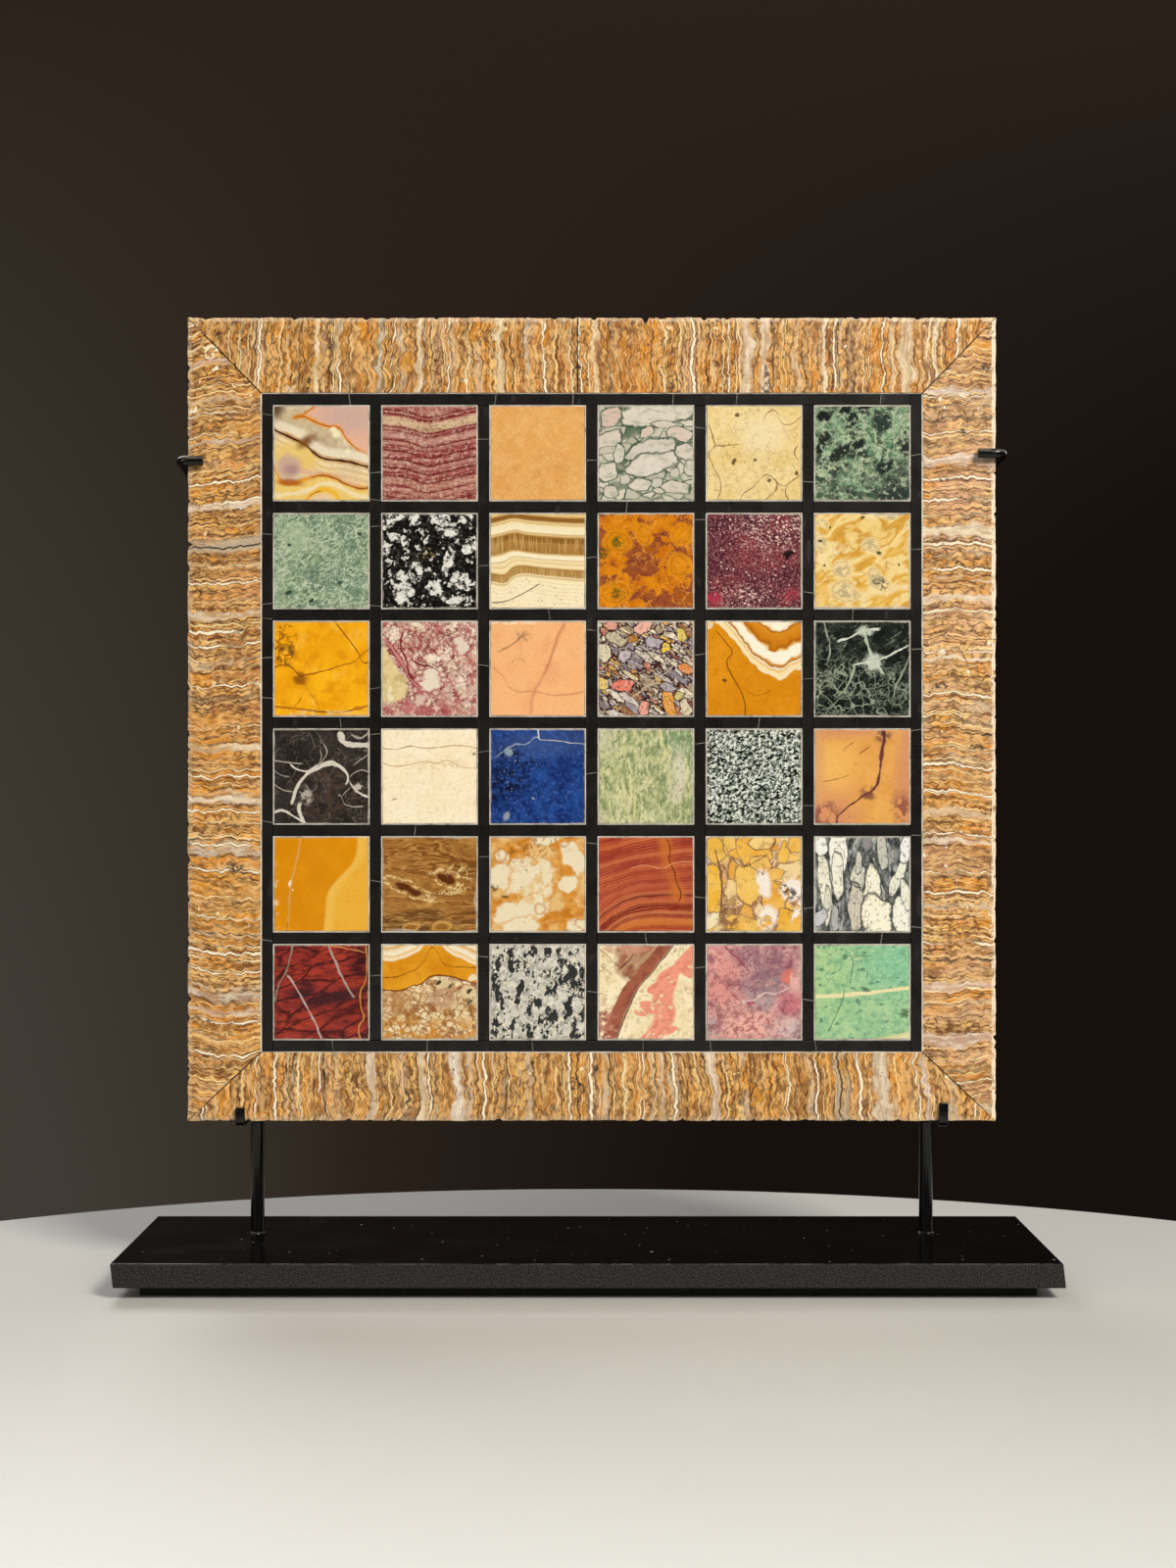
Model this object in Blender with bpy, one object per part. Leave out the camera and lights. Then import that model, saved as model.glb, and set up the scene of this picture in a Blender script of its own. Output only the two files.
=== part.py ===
"""A tablet of marble specimens on its display stand.

Thirty-six polished stone tiles sit in a lattice of black marble strips, inside a mitred
border of banded travertine. All of it is laid on one backing slab. The tablet rests on the
hooks of two steel uprights, which stand in a heavy steel plate on a black foot.

Metres, +Z up. The face looks along -Y. The origin is under the middle of the foot.
"""

import math

import bmesh
import bpy
from mathutils import Matrix, Vector

# The touching pieces keep this gap, and the stones keep the width of a putty joint.
CLEARANCE = 0.0003
JOINT = 0.0004

# Stand
PLATE_WIDTH = 0.3384
PLATE_DEPTH = 0.1006
PLATE_THICK = 0.0088
PLATE_END_SLANT = 0.0010
PLATE_EDGE = 0.0004
FOOT_HEIGHT = 0.0042
FOOT_INSET = 0.0085
UPRIGHT_RADIUS = 0.0026
UPRIGHT_SPACING = 0.2536
UPRIGHT_BACK = 0.0132
SOCKET_DEPTH = 0.0060
ARM_RADIUS = 0.0018
ARM_BEND = 0.0028
ARM_OUT = 0.0005
CLIP_HEIGHTS = {"left": 0.2446, "right": 0.2474}
CLIP_REACH = {"left": 0.0063, "right": 0.0073}
CLIP_RISE = {"left": 0.0030, "right": 0.0008}
HOOK_HALF_WIDTH = 0.0017
HOOK_HALF_THICK = 0.0010
HOOK_BEND = 0.0022
HOOK_OUT = 0.0034
HOOK_HEIGHTS = {"left": 0.0053, "right": 0.0070}

# Tablet
TABLET_WIDTH = 0.3000
TABLET_HEIGHT = 0.2982
TABLET_THICK = 0.0200
TABLET_LIFT = 0.0451
TABLET_OFFSET = 0.0014
FACING_THICK = 0.0050
BACKING_INSET = 0.0006
ROWS = 6
COLUMNS = 6
PITCH_X = 0.0401
PITCH_Z = 0.03995
STRIP = 0.0042
GRID_DROP = 0.0013
TOP_BUTT_JOINT = -0.0055
TILE_ARRIS = 0.0002

# Levels that follow from them
PLATE_BOTTOM = FOOT_HEIGHT
PLATE_TOP = PLATE_BOTTOM + PLATE_THICK
TABLET_BOTTOM = PLATE_TOP + TABLET_LIFT
TABLET_TOP = TABLET_BOTTOM + TABLET_HEIGHT
TABLET_MIDDLE = Vector((TABLET_OFFSET, 0, (TABLET_BOTTOM + TABLET_TOP) / 2))
TABLET_BACK = UPRIGHT_BACK - UPRIGHT_RADIUS - CLEARANCE
TABLET_FRONT = TABLET_BACK - TABLET_THICK
FACING_BACK = TABLET_FRONT + FACING_THICK
GRID_MIDDLE = TABLET_MIDDLE - Vector((0, 0, GRID_DROP))
GRID_WIDTH = COLUMNS * PITCH_X + STRIP
GRID_HEIGHT = ROWS * PITCH_Z + STRIP
TILE_WIDTH = PITCH_X - STRIP - 2 * JOINT
TILE_HEIGHT = PITCH_Z - STRIP - 2 * JOINT

# The specimens, row by row from the top, each with its main colour.
SPECIMENS = (
    (
        ("cloud_onyx", (0.72, 0.60, 0.42)),
        ("rose_banded_alabaster", (0.42, 0.14, 0.13)),
        ("buff_limestone", (0.80, 0.47, 0.20)),
        ("white_green_breccia", (0.52, 0.53, 0.44)),
        ("crackled_cream_marble", (0.80, 0.66, 0.38)),
        ("antique_green_marble", (0.17, 0.27, 0.19)),
    ),
    (
        ("pale_green_serpentine", (0.27, 0.37, 0.29)),
        ("black_white_porphyry", (0.16, 0.16, 0.15)),
        ("brown_ribbon_onyx", (0.66, 0.46, 0.24)),
        ("orange_jasper", (0.55, 0.19, 0.03)),
        ("red_porphyry", (0.15, 0.03, 0.05)),
        ("shell_yellow_marble", (0.77, 0.55, 0.21)),
    ),
    (
        ("siena_yellow_marble", (0.82, 0.42, 0.03)),
        ("rose_veined_breccia", (0.48, 0.28, 0.25)),
        ("flesh_pink_marble", (0.86, 0.50, 0.25)),
        ("fragment_breccia", (0.30, 0.22, 0.20)),
        ("honey_onyx", (0.62, 0.27, 0.02)),
        ("green_black_serpentine", (0.04, 0.05, 0.04)),
    ),
    (
        ("black_shell_limestone", (0.05, 0.04, 0.04)),
        ("ivory_limestone", (0.86, 0.74, 0.52)),
        ("lapis_lazuli", (0.01, 0.03, 0.20)),
        ("sage_green_marble", (0.38, 0.42, 0.22)),
        ("speckled_diorite", (0.22, 0.25, 0.22)),
        ("orange_vein_marble", (0.75, 0.38, 0.12)),
    ),
    (
        ("golden_yellow_marble", (0.75, 0.36, 0.03)),
        ("brown_cave_onyx", (0.24, 0.12, 0.04)),
        ("honey_cloud_alabaster", (0.75, 0.52, 0.26)),
        ("red_stripe_marble", (0.42, 0.10, 0.04)),
        ("yellow_breccia", (0.76, 0.45, 0.15)),
        ("grey_white_breccia", (0.50, 0.50, 0.44)),
    ),
    (
        ("red_jasper", (0.19, 0.03, 0.02)),
        ("amber_travertine", (0.66, 0.34, 0.08)),
        ("white_dark_granite", (0.42, 0.41, 0.37)),
        ("coral_cream_breccia", (0.70, 0.46, 0.30)),
        ("rose_violet_breccia", (0.45, 0.22, 0.22)),
        ("mint_green_marble", (0.27, 0.46, 0.27)),
    ),
)

# Chips out of the outer edges: place along the side from its middle, width and depth, in
# millimetres. The top and bottom run along +X, the left and right down from the top.
CHIPS = {
    "top": (
        (-75.6, 1.8, 1.1),
        (-57.5, 1.8, 1.0),
        (-29.2, 1.0, 0.7),
        (10.2, 1.6, 0.7),
        (19.9, 2.4, 3.6),
        (47.9, 1.2, 1.1),
        (61.7, 1.6, 1.1),
        (98.2, 2.0, 0.8),
    ),
    "bottom": (
        (-71.3, 1.4, 0.7),
        (-34.6, 3.3, 1.1),
        (18.1, 1.6, 1.1),
        (33.7, 2.4, 1.1),
        (69.7, 1.6, 1.1),
        (79.1, 4.4, 0.8),
        (95.4, 2.2, 0.8),
        (113.6, 2.2, 0.7),
    ),
    "left": (
        (-122.7, 1.4, 1.1),
        (-74.0, 4.0, 0.8),
        (-64.9, 1.6, 1.8),
        (-33.0, 2.2, 0.8),
        (52.0, 3.6, 1.1),
        (66.9, 1.6, 1.5),
        (89.1, 3.3, 1.1),
        (103.6, 3.3, 1.8),
        (126.9, 2.2, 0.8),
    ),
    "right": (
        (-41.0, 2.0, 0.6),
        (12.0, 2.6, 0.6),
        (81.8, 1.4, 0.8),
        (118.0, 2.0, 0.6),
    ),
}
EDGE_STEP = 0.0060
EDGE_WAVE = 0.00022


def finish(name, colour, roughness, metallic=0.0):
    material = bpy.data.materials.new(name)
    material.use_nodes = True
    shader = material.node_tree.nodes["Principled BSDF"]
    shader.inputs["Base Color"].default_value = (*colour, 1)
    shader.inputs["Roughness"].default_value = roughness
    shader.inputs["Metallic"].default_value = metallic
    material.diffuse_color = (*colour, 1)
    return material


def add_object(name, mesh, material):
    obj = bpy.data.objects.new(name, mesh)
    bpy.context.scene.collection.objects.link(obj)
    mesh.materials.clear()
    mesh.materials.append(material)
    return obj


def mesh_from(bm, name):
    bmesh.ops.recalc_face_normals(bm, faces=bm.faces)
    mesh = bpy.data.meshes.new(name)
    bm.to_mesh(mesh)
    bm.free()
    return mesh


def box_bmesh(size, middle):
    bm = bmesh.new()
    bmesh.ops.create_cube(bm, size=1)
    bmesh.ops.scale(bm, vec=size, verts=bm.verts)
    bmesh.ops.translate(bm, vec=middle, verts=bm.verts)
    return bm


def bevel_edges(bm, edges, width, segments=1):
    bmesh.ops.bevel(
        bm,
        geom=edges,
        offset=width,
        segments=segments,
        profile=0.5,
        affect="EDGES",
        material=-1,
    )


def slab_mesh(outline, front, back, name):
    """A slab whose face has this outline of (x, z) points, between two depths."""
    bm = bmesh.new()
    face = bm.faces.new([bm.verts.new((x, front, z)) for x, z in outline])
    grown = bmesh.ops.extrude_face_region(bm, geom=[face])["geom"]
    moved = [item for item in grown if isinstance(item, bmesh.types.BMVert)]
    bmesh.ops.translate(bm, vec=(0, back - front, 0), verts=moved)
    return mesh_from(bm, name)


# ---------------------------------------------------------------- the stand's plate


def make_foot(material):
    size = (PLATE_WIDTH - 2 * FOOT_INSET, PLATE_DEPTH - 2 * FOOT_INSET, FOOT_HEIGHT - CLEARANCE)
    bm = box_bmesh(size, (0, 0, size[2] / 2))
    add_object("foot", mesh_from(bm, "foot"), material)


def make_plate(material):
    """The plate, its ends cut a little out of square, with a socket for each upright."""
    bm = box_bmesh(
        (PLATE_WIDTH, PLATE_DEPTH, PLATE_THICK), (0, 0, (PLATE_BOTTOM + PLATE_TOP) / 2)
    )
    for vert in bm.verts:
        above = vert.co.z > (PLATE_BOTTOM + PLATE_TOP) / 2
        vert.co.x += PLATE_END_SLANT / 2 * (-1 if above else 1)
    bevel_edges(bm, bm.edges[:], PLATE_EDGE, segments=2)
    plate = add_object("plate", mesh_from(bm, "plate"), material)
    for side, sign in (("left", -1), ("right", 1)):
        bm = bmesh.new()
        bmesh.ops.create_cone(
            bm,
            cap_ends=True,
            segments=24,
            radius1=UPRIGHT_RADIUS + CLEARANCE,
            radius2=UPRIGHT_RADIUS + CLEARANCE,
            depth=2 * SOCKET_DEPTH,
        )
        bmesh.ops.translate(bm, vec=(upright_x(sign), UPRIGHT_BACK, PLATE_TOP), verts=bm.verts)
        cutter = add_object(f"{side}_socket_cutter", mesh_from(bm, "socket"), material)
        join_or_cut(plate, cutter, "DIFFERENCE")


# ---------------------------------------------------------------- the two uprights


def upright_x(sign):
    return TABLET_OFFSET + sign * UPRIGHT_SPACING / 2


def join_or_cut(obj, other, operation):
    other.hide_render = True
    other.display_type = "WIRE"
    modifier = obj.modifiers.new(other.name, "BOOLEAN")
    modifier.operation = operation
    modifier.solver = "EXACT"
    modifier.object = other


def rounded_path(corners, radius, steps=5):
    """The corners as a path whose inner corners are arcs of this radius."""
    path = [Vector(corners[0])]
    for before, corner, after in zip(corners, corners[1:], corners[2:]):
        corner = Vector(corner)
        back = (Vector(before) - corner).normalized()
        ahead = (Vector(after) - corner).normalized()
        half = back.angle(ahead) / 2
        reach = radius / math.tan(half)
        centre = corner + (back + ahead).normalized() * (radius / math.sin(half))
        start = corner + back * reach - centre
        end = corner + ahead * reach - centre
        turn = start.angle(end)
        for step in range(steps + 1):
            share = step / steps
            weight_a = math.sin((1 - share) * turn) / math.sin(turn)
            weight_b = math.sin(share * turn) / math.sin(turn)
            path.append(centre + start * weight_a + end * weight_b)
    path.append(Vector(corners[-1]))
    return path


def swept_mesh(name, path, half_thick, half_width=0.0, sides=5):
    """A bar along the path: round, or flat with round edges where half_width is given."""
    curve = bpy.data.curves.new(name, "CURVE")
    curve.dimensions = "2D" if half_width else "3D"
    curve.bevel_depth = half_thick
    curve.bevel_resolution = sides
    curve.extrude = max(half_width - half_thick, 0)
    curve.use_fill_caps = True
    if half_width:
        curve.fill_mode = "NONE"
    spline = curve.splines.new("POLY")
    spline.points.add(len(path) - 1)
    for point, place in zip(spline.points, path):
        point.co = (*place, 1)
    guide = bpy.data.objects.new(name, curve)
    bpy.context.scene.collection.objects.link(guide)
    mesh = bpy.data.meshes.new_from_object(guide)
    bpy.data.objects.remove(guide)
    bm = bmesh.new()
    bm.from_mesh(mesh)
    bmesh.ops.remove_doubles(bm, verts=bm.verts, dist=1e-6)
    bmesh.ops.recalc_face_normals(bm, faces=bm.faces)
    bm.to_mesh(mesh)
    bm.free()
    return mesh


def make_upright(side, sign, material):
    """One welded piece: the rod, the hook under the tablet and the arm round its edge."""
    x = upright_x(sign)
    clip_z = TABLET_BOTTOM + CLIP_HEIGHTS[side]
    arm_z = clip_z - CLIP_RISE[side]
    foot_z = PLATE_TOP - SOCKET_DEPTH + CLEARANCE
    rod_path = [Vector((x, UPRIGHT_BACK, foot_z)), Vector((x, UPRIGHT_BACK, arm_z + ARM_RADIUS))]
    rod_mesh = swept_mesh("rod", rod_path, UPRIGHT_RADIUS)
    upright = add_object(f"{side}_upright", rod_mesh, material)

    edge_x = TABLET_MIDDLE.x + sign * (TABLET_WIDTH / 2 + ARM_OUT + ARM_RADIUS)
    tip_x = TABLET_MIDDLE.x + sign * (TABLET_WIDTH / 2 - CLIP_REACH[side])
    front_y = TABLET_FRONT - CLEARANCE - ARM_RADIUS
    arm_path = rounded_path(
        (
            (x, UPRIGHT_BACK, arm_z),
            (edge_x, UPRIGHT_BACK, arm_z),
            (edge_x, front_y, clip_z),
            (tip_x, front_y, clip_z),
        ),
        ARM_BEND,
    )
    arm = add_object(f"{side}_arm_part", swept_mesh("arm", arm_path, ARM_RADIUS), material)
    join_or_cut(upright, arm, "UNION")

    under_z = TABLET_BOTTOM - CLEARANCE - HOOK_HALF_THICK
    hook_front = TABLET_FRONT - CLEARANCE - HOOK_HALF_THICK
    hook_path = rounded_path(
        (
            (UPRIGHT_BACK + UPRIGHT_RADIUS / 2, under_z, 0),
            (hook_front, under_z, 0),
            (hook_front, TABLET_BOTTOM + HOOK_HEIGHTS[side], 0),
        ),
        HOOK_BEND,
    )
    hook_mesh = swept_mesh("hook", hook_path, HOOK_HALF_THICK, HOOK_HALF_WIDTH, sides=3)
    depth_height_to_world = Matrix(((0, 0, 1, 0), (1, 0, 0, 0), (0, 1, 0, 0), (0, 0, 0, 1)))
    hook_mesh.transform(Matrix.Translation((x + sign * HOOK_OUT, 0, 0)) @ depth_height_to_world)
    hook = add_object(f"{side}_hook_part", hook_mesh, material)
    join_or_cut(upright, hook, "UNION")


# ---------------------------------------------------------------- the tablet


def make_backing(material):
    thick = TABLET_BACK - FACING_BACK - CLEARANCE
    size = (TABLET_WIDTH - 2 * BACKING_INSET, thick, TABLET_HEIGHT - 2 * BACKING_INSET)
    middle = (TABLET_MIDDLE.x, TABLET_BACK - thick / 2, TABLET_MIDDLE.z)
    bm = box_bmesh(size, middle)
    bevel_edges(bm, bm.edges[:], BACKING_INSET)
    add_object("backing_slab", mesh_from(bm, "backing_slab"), material)


def worn_edge(side, length, trim):
    """(along, inward) points of a side's outer edge: a slight wave, and its chips.

    along runs from the side's middle, and trim is where the mitres cut the ends.
    """
    chips = [(place / 1000, width / 1000, depth / 1000) for place, width, depth in CHIPS[side]]
    points = [(-length / 2 + trim, 0.0), (length / 2 - trim, 0.0)]
    count = round(length / EDGE_STEP)
    for step in range(1, count):
        along = -length / 2 + length * step / count
        if all(abs(along - place) > width for place, width, _ in chips):
            wave = math.sin(along * 410 + len(side)) + 0.6 * math.sin(along * 1130 + 2)
            points.append((along, EDGE_WAVE * (1 + wave / 1.6)))
    for place, width, depth in chips:
        points += [(place - width / 2, EDGE_WAVE), (place, depth), (place + width / 2, EDGE_WAVE)]
    return sorted(points)


def border_outlines():
    """The (x, z) outline of each mitred stone, its worn outer edge first. The top has two."""
    half_w, half_h = TABLET_WIDTH / 2, TABLET_HEIGHT / 2
    middle_x, middle_z = TABLET_MIDDLE.x, TABLET_MIDDLE.z
    left, right = middle_x - half_w, middle_x + half_w
    top, bottom = middle_z + half_h, middle_z - half_h
    inner_left = GRID_MIDDLE.x - GRID_WIDTH / 2 - JOINT
    inner_right = GRID_MIDDLE.x + GRID_WIDTH / 2 + JOINT
    inner_top = GRID_MIDDLE.z + GRID_HEIGHT / 2 + JOINT
    inner_bottom = GRID_MIDDLE.z - GRID_HEIGHT / 2 - JOINT
    trim = CLEARANCE / 2 * math.sqrt(2)
    wide = worn_edge("top", TABLET_WIDTH, trim)
    foot = worn_edge("bottom", TABLET_WIDTH, trim)
    port = worn_edge("left", TABLET_HEIGHT, trim)
    starboard = worn_edge("right", TABLET_HEIGHT, trim)
    butt = TOP_BUTT_JOINT
    return {
        "border_top_left": [(middle_x + a, top - d) for a, d in wide if a < butt]
        + [(middle_x + butt, top), (middle_x + butt, inner_top), (inner_left + trim, inner_top)],
        "border_top_right": [(middle_x + butt + JOINT, top)]
        + [(middle_x + a, top - d) for a, d in wide if a > butt + JOINT]
        + [(inner_right - trim, inner_top), (middle_x + butt + JOINT, inner_top)],
        "border_bottom": [(middle_x + a, bottom + d) for a, d in foot]
        + [(inner_right - trim, inner_bottom), (inner_left + trim, inner_bottom)],
        "border_left": [(left + d, middle_z - a) for a, d in port]
        + [(inner_left, inner_bottom + trim), (inner_left, inner_top - trim)],
        "border_right": [(right - d, middle_z - a) for a, d in starboard]
        + [(inner_right, inner_bottom + trim), (inner_right, inner_top - trim)],
    }


def make_border(material):
    for name, outline in border_outlines().items():
        add_object(name, slab_mesh(outline, TABLET_FRONT, FACING_BACK, name), material)


def line_places(count, pitch, middle):
    """Both edges of each strip across the grid, from the low side to the high one."""
    first = middle - count * pitch / 2
    return [first + pitch * n + shift for n in range(count + 1) for shift in (-STRIP / 2, STRIP / 2)]


def make_lattice(material):
    """The black strips, cemented into one lattice: a grid with the tiles' cells left out."""
    xs = line_places(COLUMNS, PITCH_X, GRID_MIDDLE.x)
    zs = line_places(ROWS, PITCH_Z, GRID_MIDDLE.z)
    bm = bmesh.new()
    verts = [[bm.verts.new((x, TABLET_FRONT, z)) for z in zs] for x in xs]
    for i in range(len(xs) - 1):
        for j in range(len(zs) - 1):
            if i % 2 and j % 2:
                continue
            bm.faces.new((verts[i][j], verts[i + 1][j], verts[i + 1][j + 1], verts[i][j + 1]))
    grown = bmesh.ops.extrude_face_region(bm, geom=bm.faces[:])["geom"]
    moved = [item for item in grown if isinstance(item, bmesh.types.BMVert)]
    bmesh.ops.translate(bm, vec=(0, FACING_THICK, 0), verts=moved)
    add_object("black_lattice", mesh_from(bm, "black_lattice"), material)


def make_tile(name, row, column, material):
    """One specimen, its polished face eased along the arris."""
    middle = (
        GRID_MIDDLE.x + (column - (COLUMNS - 1) / 2) * PITCH_X,
        (TABLET_FRONT + FACING_BACK) / 2,
        GRID_MIDDLE.z - (row - (ROWS - 1) / 2) * PITCH_Z,
    )
    bm = box_bmesh((TILE_WIDTH, FACING_THICK, TILE_HEIGHT), middle)
    face_edges = [
        edge for edge in bm.edges if all(v.co.y < middle[1] for v in edge.verts)
    ]
    bevel_edges(bm, face_edges, TILE_ARRIS)
    add_object(name, mesh_from(bm, name), material)


def main():
    for obj in list(bpy.data.objects):
        bpy.data.objects.remove(obj, do_unlink=True)
    black_steel = finish("black_painted_steel", (0.012, 0.012, 0.013), 0.25)
    black_foot = finish("black_rubber", (0.010, 0.010, 0.010), 0.85)
    slate = finish("grey_slate", (0.075, 0.078, 0.080), 0.75)
    travertine = finish("banded_travertine", (0.56, 0.32, 0.13), 0.40)
    black_marble = finish("black_marble", (0.010, 0.010, 0.011), 0.30)
    make_foot(black_foot)
    make_plate(black_steel)
    for side, sign in (("left", -1), ("right", 1)):
        make_upright(side, sign, black_steel)
    make_backing(slate)
    make_border(travertine)
    make_lattice(black_marble)
    for row, names in enumerate(SPECIMENS):
        for column, (name, colour) in enumerate(names):
            make_tile(name, row, column, finish(name, colour, 0.28))


main()
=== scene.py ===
"""Looks for a tablet of marble specimens on its display stand."""

import functools
import math
import random

import bmesh
import bpy
import numpy as np
from mathutils import Matrix, Quaternion, Vector, noise


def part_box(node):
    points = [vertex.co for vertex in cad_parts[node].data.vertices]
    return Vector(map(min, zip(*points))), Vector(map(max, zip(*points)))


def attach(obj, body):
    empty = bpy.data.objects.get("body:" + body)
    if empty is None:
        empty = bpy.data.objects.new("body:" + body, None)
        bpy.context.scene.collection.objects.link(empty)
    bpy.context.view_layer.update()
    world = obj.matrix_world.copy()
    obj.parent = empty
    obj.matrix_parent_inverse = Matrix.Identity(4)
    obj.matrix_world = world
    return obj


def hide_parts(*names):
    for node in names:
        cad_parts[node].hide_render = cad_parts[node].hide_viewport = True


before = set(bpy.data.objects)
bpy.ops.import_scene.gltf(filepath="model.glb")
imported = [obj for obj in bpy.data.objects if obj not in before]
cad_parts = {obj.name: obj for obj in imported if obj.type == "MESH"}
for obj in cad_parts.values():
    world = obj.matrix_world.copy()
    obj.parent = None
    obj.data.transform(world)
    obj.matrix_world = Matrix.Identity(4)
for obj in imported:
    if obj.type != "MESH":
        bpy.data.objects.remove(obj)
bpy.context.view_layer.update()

MM = 0.001
SQUARE = 36  # A square stone's width in millimetres, the unit of the patterns
JOINT = 0.4 * MM
MITRE_GAP = 0.3 * MM
STRIP_GAP = 0.22 * MM

# Places taken from the frame
LATTICE_LOW, LATTICE_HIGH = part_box("black_lattice")
SLAB_LOW, SLAB_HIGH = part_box("backing_slab")
PLATE_LOW, PLATE_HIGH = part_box("plate")
FOOT_LOW, FOOT_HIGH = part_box("foot")
FACE_Y = LATTICE_LOW.y
FACING_BACK = LATTICE_HIGH.y
TABLET_LOW = Vector((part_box("border_left")[0].x, FACE_Y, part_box("border_bottom")[0].z))
TABLET_HIGH = Vector((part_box("border_right")[1].x, SLAB_HIGH.y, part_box("border_top_left")[1].z))
TABLET_MIDDLE = (TABLET_LOW + TABLET_HIGH) / 2


# ------------------------------------------------------------------ node trees


def linear(code):
    """A colour code such as "E0C890", as linear red, green, blue and alpha."""
    parts = [int(code[at : at + 2], 16) / 255 for at in (0, 2, 4)]
    return (*(p / 12.92 if p < 0.04045 else ((p + 0.055) / 1.055) ** 2.4 for p in parts), 1.0)


def rows(text, parts=100):
    """Reads rows of numbers, in hundredths if not told otherwise, and colour codes.

    Three such rows are "20 13 E0C890, 30 11 C4690C, 35 9.5 98602C".
    """

    def read(word):
        return word if len(word) == 6 else float(word) / parts

    return [tuple(read(word) for word in row.split()) for row in text.split(",")]


class Tree:
    """A node tree and short ways of adding to it. Each returns the new node's output."""

    def __init__(self, tree):
        self.tree = tree
        self.count = 0

    def node(self, kind, inputs=None, **settings):
        node = self.tree.nodes.new("ShaderNode" + kind)
        node.location = (190 * (self.count // 5) - 1400, 700 - 260 * (self.count % 5))
        self.count += 1
        for name, value in settings.items():
            setattr(node, name, value)
        for name, value in (inputs or {}).items():
            self.put(node.inputs[name], value)
        return node

    def put(self, socket, value):
        if isinstance(value, bpy.types.NodeSocket):
            self.tree.links.new(value, socket)
        elif isinstance(value, str):
            socket.default_value = linear(value)
        else:
            socket.default_value = value

    def math(self, operation, *values, clamp=False):
        inputs = dict(enumerate(values))
        return self.node("Math", inputs, operation=operation, use_clamp=clamp).outputs[0]

    def plus(self, first, second):
        return self.math("ADD", first, second)

    def minus(self, first, second):
        return self.math("SUBTRACT", first, second)

    def times(self, first, second):
        return self.math("MULTIPLY", first, second)

    def times_plus(self, first, second, added, clamp=False):
        return self.math("MULTIPLY_ADD", first, second, added, clamp=clamp)

    def both(self, *masks):
        """Where all of the masks are."""
        return functools.reduce(self.times, masks)

    def either(self, *masks):
        """Where any of the masks is."""
        return functools.reduce(functools.partial(self.math, "MAXIMUM"), masks)

    def outside(self, mask):
        return self.minus(1.0, mask)

    def off(self, value, place):
        """How far a value is from a place, either way."""
        return self.math("ABSOLUTE", self.minus(value, place))

    def vector(self, operation, *values):
        sockets = (0, "Scale") if operation == "SCALE" else range(len(values))
        node = self.node("VectorMath", dict(zip(sockets, values)), operation=operation)
        return node.outputs["Value" if operation in ("LENGTH", "DISTANCE", "DOT_PRODUCT") else "Vector"]

    def steps(self, value, low, high, start=0.0, end=1.0):
        """Runs smoothly from start to end as the value goes from low to high."""
        inputs = {"Value": value, "From Min": low, "From Max": high, "To Min": start, "To Max": end}
        return self.node("MapRange", inputs, interpolation_type="SMOOTHSTEP").outputs["Result"]

    def mix(self, share, below, above, blend="MIX"):
        node = self.node("Mix", data_type="RGBA", blend_type=blend)
        for socket, value in (("Factor", share), (6, below), (7, above)):
            self.put(node.inputs[socket], value)
        return node.outputs[2]

    def ramp(self, value, stops, interpolation="LINEAR"):
        """Colours by value. The stops are rows of a place and a colour."""
        stops = sorted(rows(stops))
        node = self.node("ValToRGB", {"Fac": value})
        ramp = node.color_ramp
        ramp.interpolation = interpolation
        while len(ramp.elements) < len(stops):
            ramp.elements.new(1.0)
        for element, (place, code) in zip(ramp.elements, stops):
            element.position = place
            element.color = linear(code)
        return node.outputs["Color"]

    def noise(self, vector, scale, detail=3.0, rough=0.55, colour=False):
        inputs = {"Vector": vector, "Scale": scale, "Detail": detail, "Roughness": rough}
        return self.node("TexNoise", inputs).outputs["Color" if colour else "Fac"]

    def voronoi(self, vector, scale, feature="F1", jitter=1.0):
        inputs = {"Vector": vector, "Scale": scale, "Randomness": jitter}
        return self.node("TexVoronoi", inputs, feature=feature).outputs

    def use(self, group, **inputs):
        """A shader node group's outputs. An input's name has _ for a space."""
        node = self.node("Group", node_tree=bpy.data.node_groups[group])
        for name, value in inputs.items():
            self.put(node.inputs[name.replace("_", " ")], value)
        return node.outputs


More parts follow.
